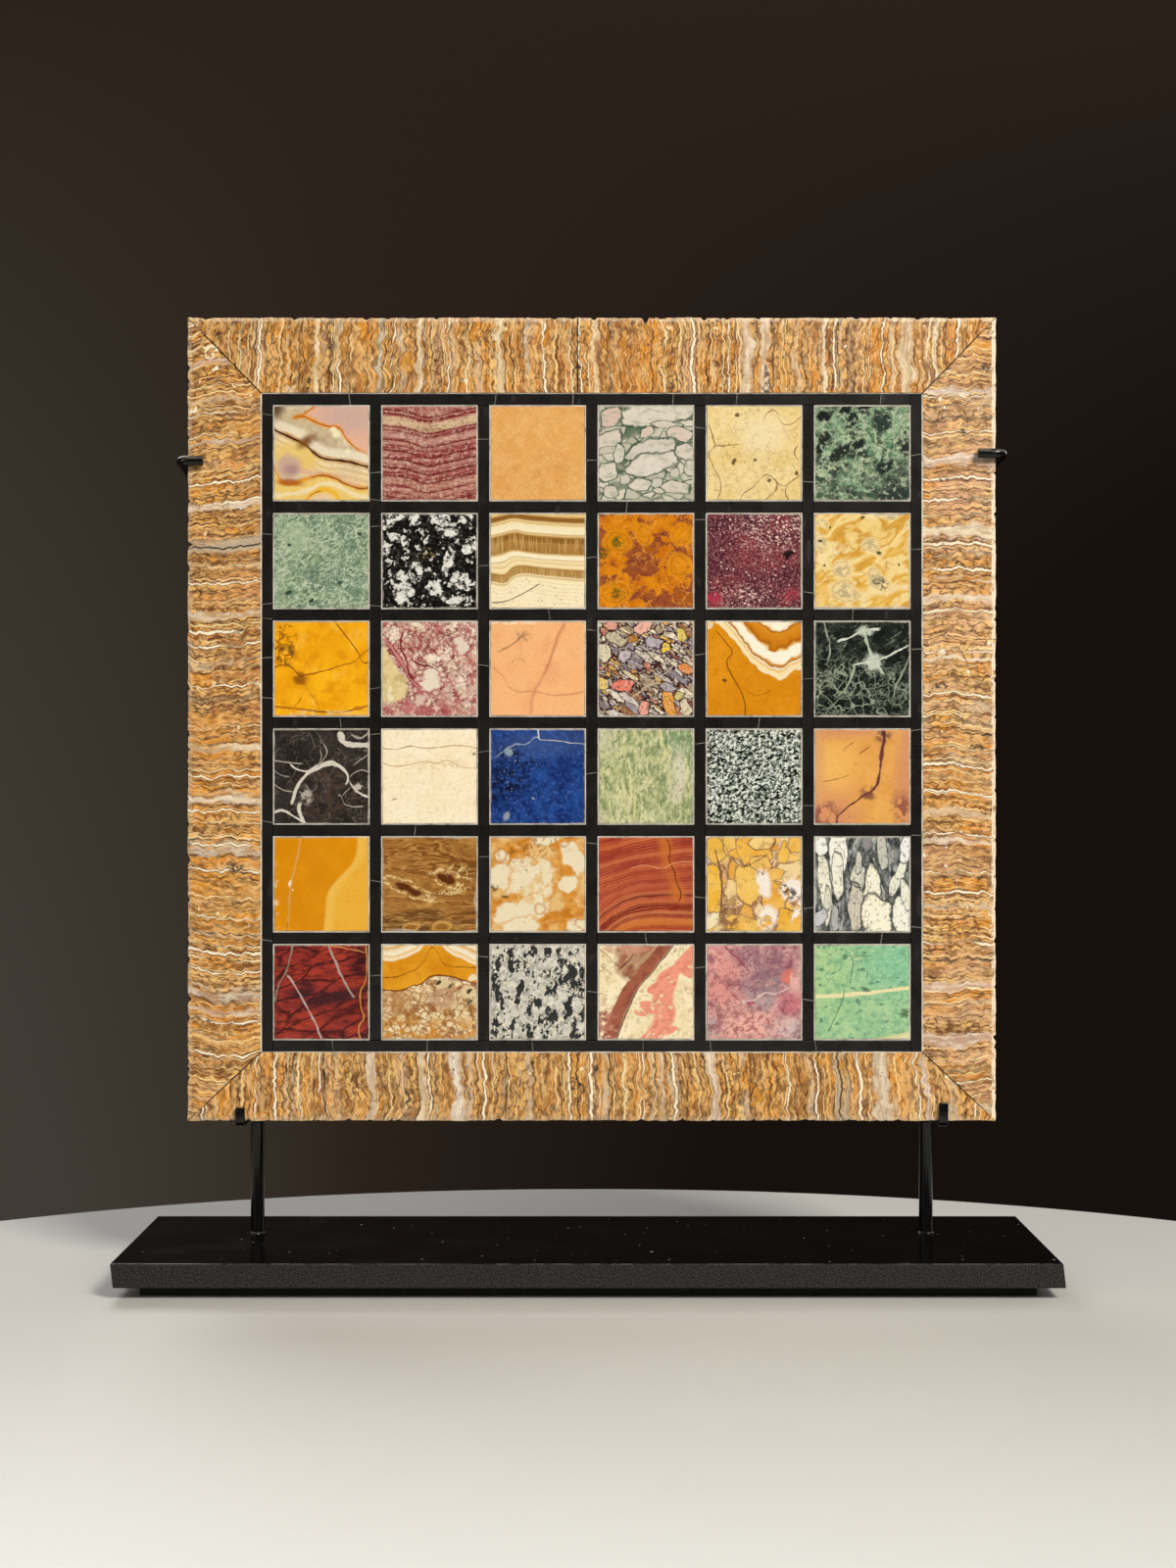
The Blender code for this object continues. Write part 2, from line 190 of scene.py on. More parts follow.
class Group(Tree):
    """A shader node group, made once and used by many materials. An input is read as group[its name]."""

    def __init__(self, name, outputs, **inputs):
        super().__init__(bpy.data.node_groups.new(name, "ShaderNodeTree"))
        for label, start in inputs.items():
            self.socket(label.replace("_", " "), "INPUT", isinstance(start, tuple)).default_value = start
        for label in outputs.split():
            self.socket(label, "OUTPUT", label == "Vector")
        self.given = self.tree.nodes.new("NodeGroupInput").outputs
        self.made = self.tree.nodes.new("NodeGroupOutput").inputs

    def socket(self, label, way, vector):
        kind = "NodeSocketVector" if vector else "NodeSocketFloat"
        return self.tree.interface.new_socket(label, in_out=way, socket_type=kind)

    def __getitem__(self, name):
        return self.given[name]

    def give(self, **outputs):
        for name, value in outputs.items():
            self.put(self.made[name], value)

    def shifted(self):
        """Its Vector moved by its Seed, so that each use shows another stretch of noise."""
        seed = self.times(self["Seed"], 7.31)
        offset = self.node("CombineXYZ", {0: seed, 1: self.times(seed, -1.7), 2: seed})
        return self.vector("ADD", self["Vector"], offset.outputs[0])

    def turned(self):
        """The same, turned by its Turn."""
        turn = self.node("CombineXYZ", {2: self["Turn"]}).outputs[0]
        return self.node("Mapping", {"Vector": self.shifted(), "Rotation": turn}).outputs[0]

    def soft(self, value, place, falling=False):
        """A mask of where the value is past a place, its edge as wide as its Softness to either side."""
        low = self.minus(place, self["Softness"])
        high = self.plus(place, self["Softness"])
        return self.steps(value, high, low) if falling else self.steps(value, low, high)


def make_warp_group():
    group = Group("Warp", "Vector", Vector=(0, 0, 0), Scale=4.0, Amount=0.1, Detail=2.0, Seed=0.0)
    wander = group.noise(group.shifted(), group["Scale"], group["Detail"], colour=True)
    centred = group.vector("SUBTRACT", wander, (0.5, 0.5, 0.5))
    move = group.vector("SCALE", centred, group["Amount"])
    group.give(Vector=group.vector("ADD", group["Vector"], move))


def make_patches_group():
    """Cloudy patches: a mask where stretched, turned noise passes a level."""
    group = Group("Patches", "Mask Value", Vector=(0, 0, 0), Scale=4.0, Stretch=(1, 1, 1), Turn=0.0,
                  Detail=3.0, Roughness=0.55, Level=0.5, Softness=0.1, Seed=0.0)
    at = group.vector("MULTIPLY", group.turned(), group["Stretch"])
    value = group.noise(at, group["Scale"], group["Detail"], group["Roughness"])
    group.give(Mask=group.soft(value, group["Level"]), Value=value)


def make_shape_group(name, angular):
    """One patch at a place, its outline wobbled by a wave: rounded, or partly a broken stone's angles.

    Across and Down are the patch's own axes, each over its half width.
    """
    corners = {"Corners": 0.7} if angular else {}
    group = Group(name, "Mask Distance", Vector=(0, 0, 0), Centre=(0.5, 0.5, 0), Across=(5, 0, 0),
                  Down=(0, 5, 0), Wave=0.0, Wobble=0.2, Softness=0.1, **corners)
    local = group.vector("SUBTRACT", group["Vector"], group["Centre"])
    across = group.vector("DOT_PRODUCT", local, group["Across"])
    down = group.vector("DOT_PRODUCT", local, group["Down"])
    place = group.node("CombineXYZ", {0: across, 1: down}).outputs[0]
    radial = group.vector("LENGTH", place)
    if angular:
        flat = 0.0
        for angle, far in ((0.2, 1.0), (1.4, 0.9), (2.5, 1.05), (3.7, 0.92), (5.0, 1.0)):
            side = group.vector("DOT_PRODUCT", place, (math.cos(angle) / far, math.sin(angle) / far, 0))
            flat = group.either(flat, side)
        rounded = group.times(radial, group.outside(group["Corners"]))
        radial = group.times_plus(flat, group["Corners"], rounded)
    distance = group.times_plus(group["Wave"], group["Wobble"], radial)
    group.give(Mask=group.soft(distance, 1.0, falling=True), Distance=distance)


def make_cells_group():
    """Broken pieces: a random value for each piece, and how far its edge is."""
    group = Group("Cells", "Piece Tone Edge Centre", Vector=(0, 0, 0), Scale=5.0, Stretch=(1, 1, 1),
                  Turn=0.0, Jitter=1.0, Seed=0.0)
    at = group.vector("MULTIPLY", group.turned(), group["Stretch"])
    nearest = group.voronoi(at, group["Scale"], "F1", group["Jitter"])
    edge = group.voronoi(at, group["Scale"], "DISTANCE_TO_EDGE", group["Jitter"])["Distance"]
    parts = group.node("SeparateColor", {0: nearest["Color"]}).outputs
    group.give(Piece=parts[0], Tone=parts[1], Edge=edge, Centre=nearest["Distance"])


def make_specks_group():
    """Scattered grains of many sizes."""
    group = Group("Specks", "Mask", Vector=(0, 0, 0), Scale=30.0, Size=0.3, Density=0.5, Softness=0.1,
                  Seed=0.0)
    found = group.voronoi(group.shifted(), group["Scale"])
    parts = group.node("SeparateColor", {0: found["Color"]}).outputs
    size = group.times(group.steps(parts[0], 0.0, 1.0, 0.35, 1.0), group["Size"])
    kept = group.math("LESS_THAN", parts[1], group["Density"])
    group.give(Mask=group.times(group.soft(found["Distance"], size, falling=True), kept))


def make_cracks_group():
    """A broken net of thin cracks."""
    group = Group("Cracks", "Mask", Vector=(0, 0, 0), Scale=5.0, Width=0.02, Wander=0.1, Level=0.5,
                  Seed=0.0)
    at = group.shifted()
    bent = group.use("Warp", Vector=at, Scale=9.0, Amount=group["Wander"], Detail=4.0)[0]
    edge = group.voronoi(bent, group["Scale"], "DISTANCE_TO_EDGE")["Distance"]
    shown = group.steps(group.noise(at, 3.0, 3.0), group["Level"], group.plus(group["Level"], 0.08))
    group.give(Mask=group.times(group.steps(edge, group["Width"], 0.0), shown))


def make_threads_group():
    """Wandering threads: where stretched, turned noise crosses its middle."""
    group = Group("Threads", "Mask", Vector=(0, 0, 0), Scale=6.0, Stretch=(1, 1, 1), Turn=0.0, Detail=3.0,
                  Width=0.02, Broken=0.45, Seed=0.0)
    turned = group.turned()
    at = group.vector("MULTIPLY", turned, group["Stretch"])
    ridge = group.off(group.noise(at, group["Scale"], group["Detail"]), 0.5)
    shown = group.steps(group.noise(turned, 5.0, 3.0), group["Broken"], group.plus(group["Broken"], 0.12))
    group.give(Mask=group.times(group.steps(ridge, group["Width"], 0.0), shown))


def make_line_group():
    """A vein along a path: near where Across meets zero, faded at its ends and pinched by a wave."""
    group = Group("Line", "Mask", Across=0.0, Along=0.0, Start=-1.0, End=2.0, Width=0.02, Softness=0.5,
                  Wave=0.0, Uneven=0.5)
    swell = group.times(group["Wave"], group["Uneven"])
    width = group.times(group["Width"], group.times_plus(swell, 5.0, 1.0))
    inner = group.times(width, group.outside(group["Softness"]))
    body = group.steps(group.math("ABSOLUTE", group["Across"]), width, inner)
    begun = group.steps(group["Along"], group["Start"], group.plus(group["Start"], 0.04))
    ended = group.steps(group["Along"], group["End"], group.minus(group["End"], 0.04))
    group.give(Mask=group.times(body, group.times(begun, ended)))


def make_beds_group():
    """Thin beds side by side: lines at random places across, some left out, each pinched by a wave."""
    group = Group("Beds", "Mask", Across=0.0, Count=5.0, Width=0.05, Kept=0.7, Wave=0.0, Seed=0.0)
    at = group.times_plus(group["Seed"], 7.31, group["Across"])
    found = group.node("TexVoronoi", {"W": at, "Scale": group["Count"]}, voronoi_dimensions="1D").outputs
    parts = group.node("SeparateColor", {0: found["Color"]}).outputs
    uneven = group.times_plus(group["Wave"], 3.0, group.times_plus(parts[1], 0.9, 0.4))
    width = group.times(group["Width"], uneven)
    line = group.steps(found["Distance"], width, group.times(width, 0.55))
    group.give(Mask=group.times(line, group.math("LESS_THAN", parts[0], group["Kept"])))


def make_polish_group():
    """Old polish: roughness with worn patches and fine scratches, and a height with pits and waves."""
    group = Group("Polish", "Roughness Height Pit", Vector=(0, 0, 0), Roughness=0.25, Uneven=0.1, Pits=0.3,
                  Pit_Scale=40.0, Seed=0.0)
    at = group.shifted()
    worn = group.noise(at, 3.0, 5.0)
    drawn_out = {"Vector": at, "Rotation": (0, 0, 0.6), "Scale": (2, 60, 1)}
    scratches = group.noise(group.node("Mapping", drawn_out).outputs[0], 3.0, 2.0)
    scratch = group.steps(scratches, 0.66, 0.74)
    rough = group.times_plus(group.minus(worn, 0.5), group["Uneven"], group["Roughness"])
    rough = group.times_plus(scratch, group.times(group["Uneven"], 0.6), rough, clamp=True)
    dots = group.use("Specks", Vector=at, Scale=group["Pit Scale"], Size=0.22, Density=0.12, Softness=0.08)
    pit = group.times(dots[0], group["Pits"])
    wave = group.times(group.noise(at, 1.6, 2.0), 0.3)
    height = group.minus(group.times_plus(scratch, -0.04, wave), pit)
    rough = group.times_plus(pit, 0.4, rough, clamp=True)
    group.give(Roughness=rough, Height=height, Pit=pit)


def make_arris_group():
    """How near a point of a square stone's face is to its edges, broken up by noise."""
    group = Group("Arris", "Mask", Vector=(0, 0, 0), Width=0.02, Seed=0.0)
    across = group.node("SeparateXYZ", {0: group["Vector"]}).outputs
    reach = group.minus(0.5, group.either(group.off(across[0], 0.5), group.off(across[1], 0.5)))
    ragged = group.times(group.noise(group.shifted(), 16.0, 4.0), group["Width"])
    group.give(Mask=group.steps(reach, group.times(ragged, 2.4), 0.0))


def make_groups():
    make_shape_group("Ellipse", False)
    make_shape_group("Clast", True)
    for make in (make_warp_group, make_patches_group, make_cells_group, make_specks_group, make_cracks_group,
                 make_threads_group, make_line_group, make_beds_group, make_polish_group, make_arris_group):
        make()


class Stone(Tree):
    """A stone's material, painted in layers.

    Places are in face coordinates: u runs from 0 to 1 across the face, v from 0 to 1 down it,
    and w goes inward. The masks are laid one over another by lay().
    """

    def __init__(self, name, low, high, seed):
        self.material = bpy.data.materials.new(name)
        self.material.use_nodes = True
        super().__init__(self.material.node_tree)
        self.shader = self.tree.nodes["Principled BSDF"]
        self.shader.location = (600, 300)
        self.tree.nodes["Material Output"].location = (900, 300)
        self.seed = seed
        self.colour = linear("808080")
        self.place(low, high)

    def place(self, low, high):
        """Lays the face coordinates over a square stone's face."""
        width, height = high.x - low.x, high.z - low.z
        to_face = {"Rotation": (math.pi / 2, 0, 0), "Scale": (1 / width, 1 / width, 1 / height),
                   "Location": (-low.x / width, high.z / height, -low.y / width)}
        self.set_at(self.mapped(self.node("TexCoord").outputs["Object"], **to_face))

    def mapped(self, vector, **how):
        return self.node("Mapping", {"Vector": vector, **how}).outputs[0]

    def set_at(self, at):
        """Takes these as the face coordinates from here on."""
        self.at = at
        parts = self.node("SeparateXYZ", {0: at}).outputs
        self.u, self.v = parts[0], parts[1]
        self.waves = {}

    def next_seed(self):
        self.seed += 1.0
        return self.seed

    def seeded(self, group, **inputs):
        """A group's outputs at the face coordinates, each time with its own seed."""
        return self.use(group, Vector=self.at, Seed=self.next_seed(), **inputs)

    def lay(self, mask, paint, share=1.0):
        """Lays a paint, a colour code or a colour, over what is there by a mask."""
        if share < 1.0:
            mask = self.times(mask, share)
        self.colour = self.mix(mask, self.colour, paint)
        return mask

    def bend(self, scale, amount, detail=2.0):
        """Bends the face coordinates from here on by noise."""
        self.set_at(self.seeded("Warp", Scale=scale, Amount=amount, Detail=detail)[0])

    def patches(self, scale, level=0.5, soft=0.1, detail=3.0, stretch=(1, 1, 1), turn=0.0, rough=0.55,
                output="Mask"):
        return self.seeded("Patches", Scale=scale, Level=level, Softness=soft, Detail=detail,
                           Stretch=stretch, Turn=turn, Roughness=rough)[output]

    def clouds(self, text, stretch=(1, 1, 1)):
        """Lays cloudy patches, each row scale, level, softness, detail, paint and share.

        The scale and the detail are in whole units.
        """
        for scale, level, soft, detail, paint, share in rows(text):
            self.lay(self.patches(scale * 100, level, soft, detail * 100, stretch), paint, share)

    def wave(self, scale):
        """Noise about zero at a scale, made once for all the shapes and veins that it wobbles."""
        if scale not in self.waves:
            self.waves[scale] = self.minus(self.noise(self.at, scale, 4.0), 0.5)
        return self.waves[scale]

    def shape(self, group, u, v, across, down, turn, soft, wobble, scale, **more):
        cos, sin = math.cos(turn), math.sin(turn)
        return self.use(group, Vector=self.at, Centre=(u, v, 0), Across=(cos / across, -sin / across, 0),
                        Down=(sin / down, cos / down, 0), Wave=self.wave(scale), Wobble=wobble,
                        Softness=soft, **more)

    def ellipse(self, u, v, across, down, turn=0.0, soft=0.12, wobble=0.3, scale=6.0, output="Mask"):
        return self.shape("Ellipse", u, v, across, down, turn, soft, wobble, scale)[output]

    def spots(self, text):
        """Lays spots, each row u, v, across, down, turn, softness, wobble, paint and share."""
        for *place, paint, share in rows(text):
            self.lay(self.ellipse(*place), paint, share)

    def clasts(self, text, rim, grow=1.12, corners=0.7, soft=0.07, wobble=0.6, scale=5.0):
        """Lays broken stones, each row u, v, across, down, turn and paint, with a rim round every one."""
        for *place, paint in rows(text):
            distance = self.shape("Clast", *place, soft, wobble, scale, Corners=corners)["Distance"]
            self.lay(self.steps(distance, grow + soft, grow), rim, 0.9)
            self.lay(self.steps(distance, 1.0 + soft, 1.0 - soft), paint)

    def cells(self, scale, stretch=(1, 1, 1), turn=0.0, jitter=1.0):
        return self.seeded("Cells", Scale=scale, Stretch=stretch, Turn=turn, Jitter=jitter)

    def specks(self, scale, size=0.3, density=0.5, soft=0.08):
        return self.seeded("Specks", Scale=scale, Size=size, Density=density, Softness=soft)[0]

    def cracks(self, scale, width=0.02, wander=0.1, level=0.5):
        return self.seeded("Cracks", Scale=scale, Width=width, Wander=wander, Level=level)[0]

    def threads(self, scale, width=0.02, stretch=(1, 1, 1), turn=0.0, detail=3.0, broken=0.45):
        return self.seeded("Threads", Scale=scale, Width=width, Stretch=stretch, Turn=turn, Detail=detail,
                           Broken=broken)[0]

    def path(self, points, upright=False):
        """How far a place is past a path given as rows of u and v, from above it or from its left.

        The path runs left to right, or top to bottom when upright.
        """
        along, across = (self.v, self.u) if upright else (self.u, self.v)
        node = self.node("FloatCurve", {"Value": along})
        curve = node.mapping.curves[0]
        node.mapping.use_clip = False
        line = sorted(point[::-1] if upright else point for point in rows(points))
        while len(curve.points) < len(line):
            curve.points.new(0.5, 0.5)
        for point, place in zip(curve.points, line):
            point.location = place
        node.mapping.update()
        return self.minus(across, node.outputs[0])

    def vein(self, points, width, paint, upright=False, share=1.0, soft=0.6, uneven=0.5):
        """Paints a vein from the first of the points to the last."""
        ends = sorted(point[upright] for point in rows(points))
        mask = self.use("Line", Across=self.path(points, upright), Along=self.v if upright else self.u,
                        Start=ends[0] - 0.02, End=ends[-1] + 0.02, Width=width, Softness=soft,
                        Wave=self.wave(8.0), Uneven=uneven)[0]
        return self.lay(mask, paint, share)

    def past(self, distance, soft=0.02, at=0.0):
        """A mask of what lies past a path."""
        return self.steps(distance, at - soft, at + soft)

    def grain(self, amount=0.06, scale=50.0):
        """Lightens and darkens everything a little, as fine crystals do."""
        shade = self.steps(self.noise(self.at, scale, 3.0), 0.3, 0.7, 1 - amount, 1 + amount)
        grey = self.node("CombineColor", {0: shade, 1: shade, 2: shade}).outputs[0]
        self.colour = self.mix(1.0, self.colour, grey, blend="MULTIPLY")

    def finish(self, roughness, height, strength=0.2, depth=0.3):
        """Puts the colour, the roughness and a bump of this depth in millimetres on the shader."""
        bump = self.node("Bump", {"Height": height, "Strength": strength, "Distance": depth * MM})
        looks = {"Base Color": self.colour, "Roughness": roughness, "Normal": bump.outputs[0]}
        for name, value in looks.items():
            self.put(self.shader.inputs[name], value)
        return self.material

    def polish(self):
        """Finishes a square stone: its fine grain, a paler rim along its edges, old polish, pits and waves.
        """
        self.grain()
        # Pales the face in a ragged rim along all four edges.
        self.lay(self.seeded("Arris", Width=0.012)[0], "D8D0C0", 0.45)
        made = self.seeded("Polish", Roughness=0.24, Uneven=0.12, Pits=0.2, Pit_Scale=34.0)
        self.lay(made["Pit"], "3A2E22", 0.7)
        return self.finish(made["Roughness"], made["Height"], 0.12, 0.4)


# ------------------------------------------------------------------ the stones


def cloud_onyx(s):
    s.bend(4, 0.045, 4)
    s.colour = s.mix(s.patches(3, 0.5, 0.2, 4), "DCC8A0", "AC9478")
    s.clouds("6 56 12 4 F2E4C4 70")
    top = "20 13, 30 11, 42 16, 55 21, 68 23, 77 35, 88 46, 105 54"
    over = s.outside(s.past(s.path("-20 10, " + top), 0.02))
    pink = s.both(over, s.past(s.path("42 -5, 36 5, 26 13, 20 30", True), 0.03))
    s.lay(pink, "E5B59A")
    s.lay(s.both(pink, s.ellipse(0.78, 0.12, 0.3, 0.16, soft=0.7)), "CDACA2", 0.9)
    s.vein(top, 0.055, "E9A552", soft=1, share=0.85)
    s.vein("45 -2, 36 5, 22 14", 0.035, "D27C10", upright=True, soft=0.8)
    s.vein(top, 0.014, "C4690C")
    main = "-5 21, 6 28, 20 34, 33 41, 43 50, 55 56, 72 58, 87 61, 105 67"
    past_main = s.path(main)
    under = s.past(past_main, 0.012)
    s.lay(under, s.ramp(past_main,
                        "0 D9A45A, 3 E9CE94, 6 F3E2B4, 9 E2BE84, 12 F0DCA8, 16 DDBE92, 20 EED49C, "
                        "26 D8BA98, 32 EBD2A0, 40 D9BFA0"))
    above = s.both(s.steps(past_main, -0.16, -0.1), s.outside(under))
    s.lay(above, "F0E4CA", 0.85)
    s.lay(s.both(s.steps(past_main, -0.045, -0.03), s.steps(past_main, -0.005, -0.02),
                 s.patches(5, 0.45, 0.1)), "D9A868", 0.7)
    s.lay(s.both(under, s.patches(3.6, 0.55, 0.1)), "CDB8A0", 0.5)
    s.lay(s.both(under, s.ellipse(0.2, 0.52, 0.3, 0.14, 0.2, 0.6, 0.8)), "EBCB74", 0.9)
    s.lay(s.both(under, s.ellipse(0.3, 0.62, 0.1, 0.08, 0.2, 0.6, 0.8)), "EFC970", 0.9)
    s.vein("5 60, 20 66, 36 70, 52 72, 70 78, 90 86", 0.05, "E0B498", soft=0.9, share=0.9)
    s.spots("16 63 13 12 20 35 60 C8A898 90, 19 68 7 6 20 70 60 AE8E88 90")
    right = "40 75, 52 73, 64 76, 78 83, 90 87, 105 85"
    low = "-5 60, 2 68, 8 79, 17 83, 28 79, " + right
    s.lay(s.past(s.path(low), 0.012), "EDCB74")
    s.vein(low, 0.04, "E09A2E", soft=1)
    s.spots("17 81 13 3.5 -10 60 30 B05A08 90")
    s.vein(right, 0.011, "9A5420")
    s.vein("-5 93, 20 93, 38 88, 50 82, 68 84, 84 93, 105 96", 0.045, "F0DDB0", soft=0.9)
    s.vein("33 100, 42 92, 52 88, 62 91, 70 100", 0.045, "F2B832", soft=0.8)
    s.vein("33 100, 42 92, 50 90", 0.01, "C07A20")
    s.spots("50 100 12 7 0 40 30 E8C8A4 100")
    s.vein(main, 0.04, "A86C28", soft=1, share=0.85)
    s.vein(main, 0.014, "43200A", soft=0.5)
    s.spots("34 37 10 5 60 80 80 7E4A18 95")
    for u, v, size in rows("63 25 3, 66 30 4, 78 48 2.5"):
        s.lay(s.ellipse(u, v, size, size, soft=0.5), "F8EFC4", 0.9)
    s.spots("0 2 10 12 0 70 30 5A3A1C 95")


def rose_banded_alabaster(s):
    s.bend(5, 0.02, 4)
    s.bend(18, 0.012, 4)
    sag = s.path("-20 -5, 0 0, 25 4, 48 12, 62 9, 85 2, 100 -2, 120 -5")
    level = s.plus(s.times(sag, 0.75), s.times(s.v, 0.25))
    s.colour = s.ramp(level,
                      "0 B5766E, 2.5 7A2628, 4.5 C08A7E, 6 862A30, 8.5 94393C, 10 D6B290, 13 E2CBA0, "
                      "18 DCC298, 20 8A2A30, 22 B7726C, 23.5 7C2228, 27 C79084, 31 D2A898, 34 963C40, "
                      "36 C4907F, 41 A04C4C, 45 8A3438, 50 B06660, 54 741F24, 57 C89486, 61 C0827A, "
                      "63.5 721E24, 67 B87068, 72 7C2228, 75 BE7C72, 79 D2A88C, 82 A04A46, 87 CC9484, "
                      "93 963A38, 97 822626, 100 A65A54")
    s.clouds("2 40 30 3 86382E 36")
    fine = s.patches(2, detail=3, stretch=(0.8, 22, 1), output="Value")
    s.lay(s.steps(fine, 0.54, 0.62), "DDB4A2", 0.3)
    s.lay(s.steps(fine, 0.46, 0.38), "701C22", 0.35)
    s.clouds("30 56 8 3 E6C8B4 50, 36 58 8 3 6A2226 50")
    for low, thick in rows(
            "3.5 1, 7 0.7, 20.5 0.9, 25 0.6, 35 1.1, 40 0.6, 46 1.4, 54.5 1.4, 60 0.6, 64 1.2, 69 0.6, "
            "73 1.1, 83 0.9, 90 0.6, 95 1.2"):
        s.lay(s.steps(s.off(level, low), thick, thick * 0.3), "6C1E1E", 0.85)
    s.lay(s.both(s.steps(s.v, 0.72, 0.8), s.threads(9, 0.03, (0.6, 3, 1), broken=0.4)), "D8B09A", 0.7)


def buff_limestone(s):
    s.colour = linear("E9AE64")
    s.clouds("3 50 20 5 DC9C54 60, 8 55 14 4 F4C684 45")
    s.lay(s.patches(9, 0.6, 0.12, 4, stretch=(1, 9, 1), turn=0.9), "C88E4C", 0.35)
    s.lay(s.patches(7, 0.6, 0.12, 4, stretch=(1, 7, 1), turn=-0.7), "C88E4C", 0.3)
    s.lay(s.specks(24, 0.14, 0.2), "A06A34", 0.6)


def white_green_breccia(s):
    s.bend(8, 0.035, 4)
    s.colour = s.mix(s.patches(6, 0.5, 0.15, 4, stretch=(1, 2, 1)), "3C5440", "84967C")
    small = s.cells(7.5, (0.85, 1.2, 1), 0.15)
    stone = s.mix(s.steps(small["Piece"], 0.1, 0.9), "B4B2A0", "D8D2C2")
    s.lay(s.steps(small["Edge"], 0.03, 0.09), stone)
    s.spots(
        "36 24 75 8.5 34 15 50 546C55 95, 74 41 28 6 10 20 60 4A624C 95, 24 60 14 6 100 30 80 54694F 90, "
        "20 85 10 5 20 30 80 667A64 90")
    s.clasts(
        "62 6 40 14 10 DCD5C6, 72 20 14 4 -15 D5CFC2, 13 13 11 9 60 D8BFB2, 14 27 13 5 10 C2BFAE, "
        "50 28 8 4.5 60 DDC9BC, 85 30 12 7 -30 DCCABC, 8 38 14 9 40 D8CFC0, 10 47 12 3.5 20 C9C4B4, "
        "55 47 26 10 22 D6CEC2, 54 62 27 10 20 DDD6CA, 22 51 5 10 0 D3CFC0, 93 50 11 8 -70 D9D0C4, "
        "96 66 5 9 10 D4CCC0, 9 70 10 9 20 DAD4C6, 13 91 7 6 30 D4CEC0, 43 84 11 6 -10 DAD2C4, "
        "80 86 15 6 -10 D6CEC0, 62 82 6 5 30 CCC8BA, 28 78 5 5 50 CFCABC, 80 71 5 4 60 CDC8BA", "3E5642",
        1.16, 0.75, 0.07, 1.2, 5)
    s.lay(s.patches(9, 0.58, 0.08, 4, (1, 1.6, 1)), "8E9C84", 0.5)
    s.clouds("9 56 12 4 C4B4A8 30")


def crackled_cream_marble(s):
    s.bend(9, 0.03, 3)
    s.bend(28, 0.024, 3)
    s.colour = linear("EBD08C")
    s.clouds("4 50 15 5 F1DDA6 80, 16 58 10 4 D2B068 45")
    s.spots("60 30 25 20 0 60 30 F2E2B8 70")
    s.lay(s.specks(20, 0.2, 0.2), "8A6A3A", 0.7)
    dark = "7E5A30"
    s.vein("2 20, 6 33, 8 42, 2 50, 6 62, 15 82, 10 102", 0.007, dark, upright=True)
    s.vein("8 43, 18 42, 34 41", 0.008, dark)
    s.vein("34 100, 40 92, 48 87, 57 77, 62 73, 70 76, 78 84, 90 80, 100 70", 0.007, dark)
    s.vein("70 76, 74 86, 66 95, 60 102", 0.009, dark, upright=True)
    s.vein("86 84, 83 90, 88 102", 0.009, dark, upright=True)
    s.vein("60 14, 68 5, 74 7, 78 17, 88 19, 100 10", 0.008, dark)
    s.vein("96 42, 93 50, 97 58", 0.009, dark, upright=True)
    s.lay(s.cracks(6, 0.016, 0.3, 0.47), dark, 0.7)
    s.lay(s.both(s.steps(s.v, 0.45, 0.6), s.cracks(11, 0.022, 0.3, 0.42)), "A07C46", 0.6)
    for u, v in rows("51 57, 66 79, 30 57, 95 71, 28 60, 32 10"):
        s.lay(s.ellipse(u, v, 0.02, 0.022, wobble=0.8, scale=14), "5E4426", 0.9)


def antique_green_marble(s):
    s.bend(6, 0.06, 4)
    s.colour = s.mix(s.patches(4, 0.5, 0.1, 4), "4A604C", "80A080")
    s.clouds("8 54 5 5 6A9470 80, 6 55 5 3 26302A 90")
    s.lay(s.threads(6, 0.05, detail=5, broken=0.36), "AEBE9C", 0.85)
    s.lay(s.threads(11, 0.045, detail=5, broken=0.38), "C4D0B0", 0.8)
    lower = s.steps(s.times_plus(s.u, 0.35, s.v), 0.75, 1.05)
    s.lay(s.both(lower, s.patches(5, 0.47, 0.08, 5, (1, 2.2, 1))), "2C3834", 0.8)
    s.clasts(
        "70 18 9 11 20 2E3C34, 27 50 12 6 50 222A26, 9 11 7 4.5 0 1A201C, 40 13 4.5 6 40 1C2420, "
        "32 5 5 5 0 1A201C, 52 3 6 4.5 0 1C2420, 10 34 6 6 80 222A26, 45 41 7 4 40 1C2622, "
        "4 46 4 4 0 1A201C, 95 44 5 8 30 222A26, 73 66 9 6 40 26302C, 88 94 20 7 10 2C3834", "4A5E4C", 1.15,
        0.8, 0.1, 1.4, 9)
    s.clouds("18 60 5 4 C8D4B8 55, 24 60 6 4 1E2822 60")


def pale_green_serpentine(s):
    s.bend(7, 0.07, 4)
    s.colour = s.mix(s.patches(4, 0.5, 0.15, 4), "6C866E", "90A482")
    s.lay(s.patches(12, 0.53, 0.06, 5, stretch=(1, 2, 1), turn=0.6), "587460", 0.85)
    s.lay(s.threads(11, 0.06, (1, 1.6, 1), 0.5, 4, 0.36), "CCD8BE", 0.85)
    s.lay(s.threads(22, 0.05, (1.5, 1, 1), -0.4, 4, 0.34), "CDDCC0", 0.65)
    s.clouds("30 60 6 3 4C6A56 60")
    s.spots("25 25 16 14 0 60 30 B4C6A4 50")
    s.lay(s.specks(12, 0.14, 0.25), "22382C", 0.85)
    for u, v, size in rows("16 33 1.6, 16 84 2.4, 69 73 1.8, 40 93 2, 90 22 1.8"):
        s.lay(s.ellipse(u, v, size * 1.4, size, 0.5, 0.3, 1.2, 20), "1E3428", 0.9)


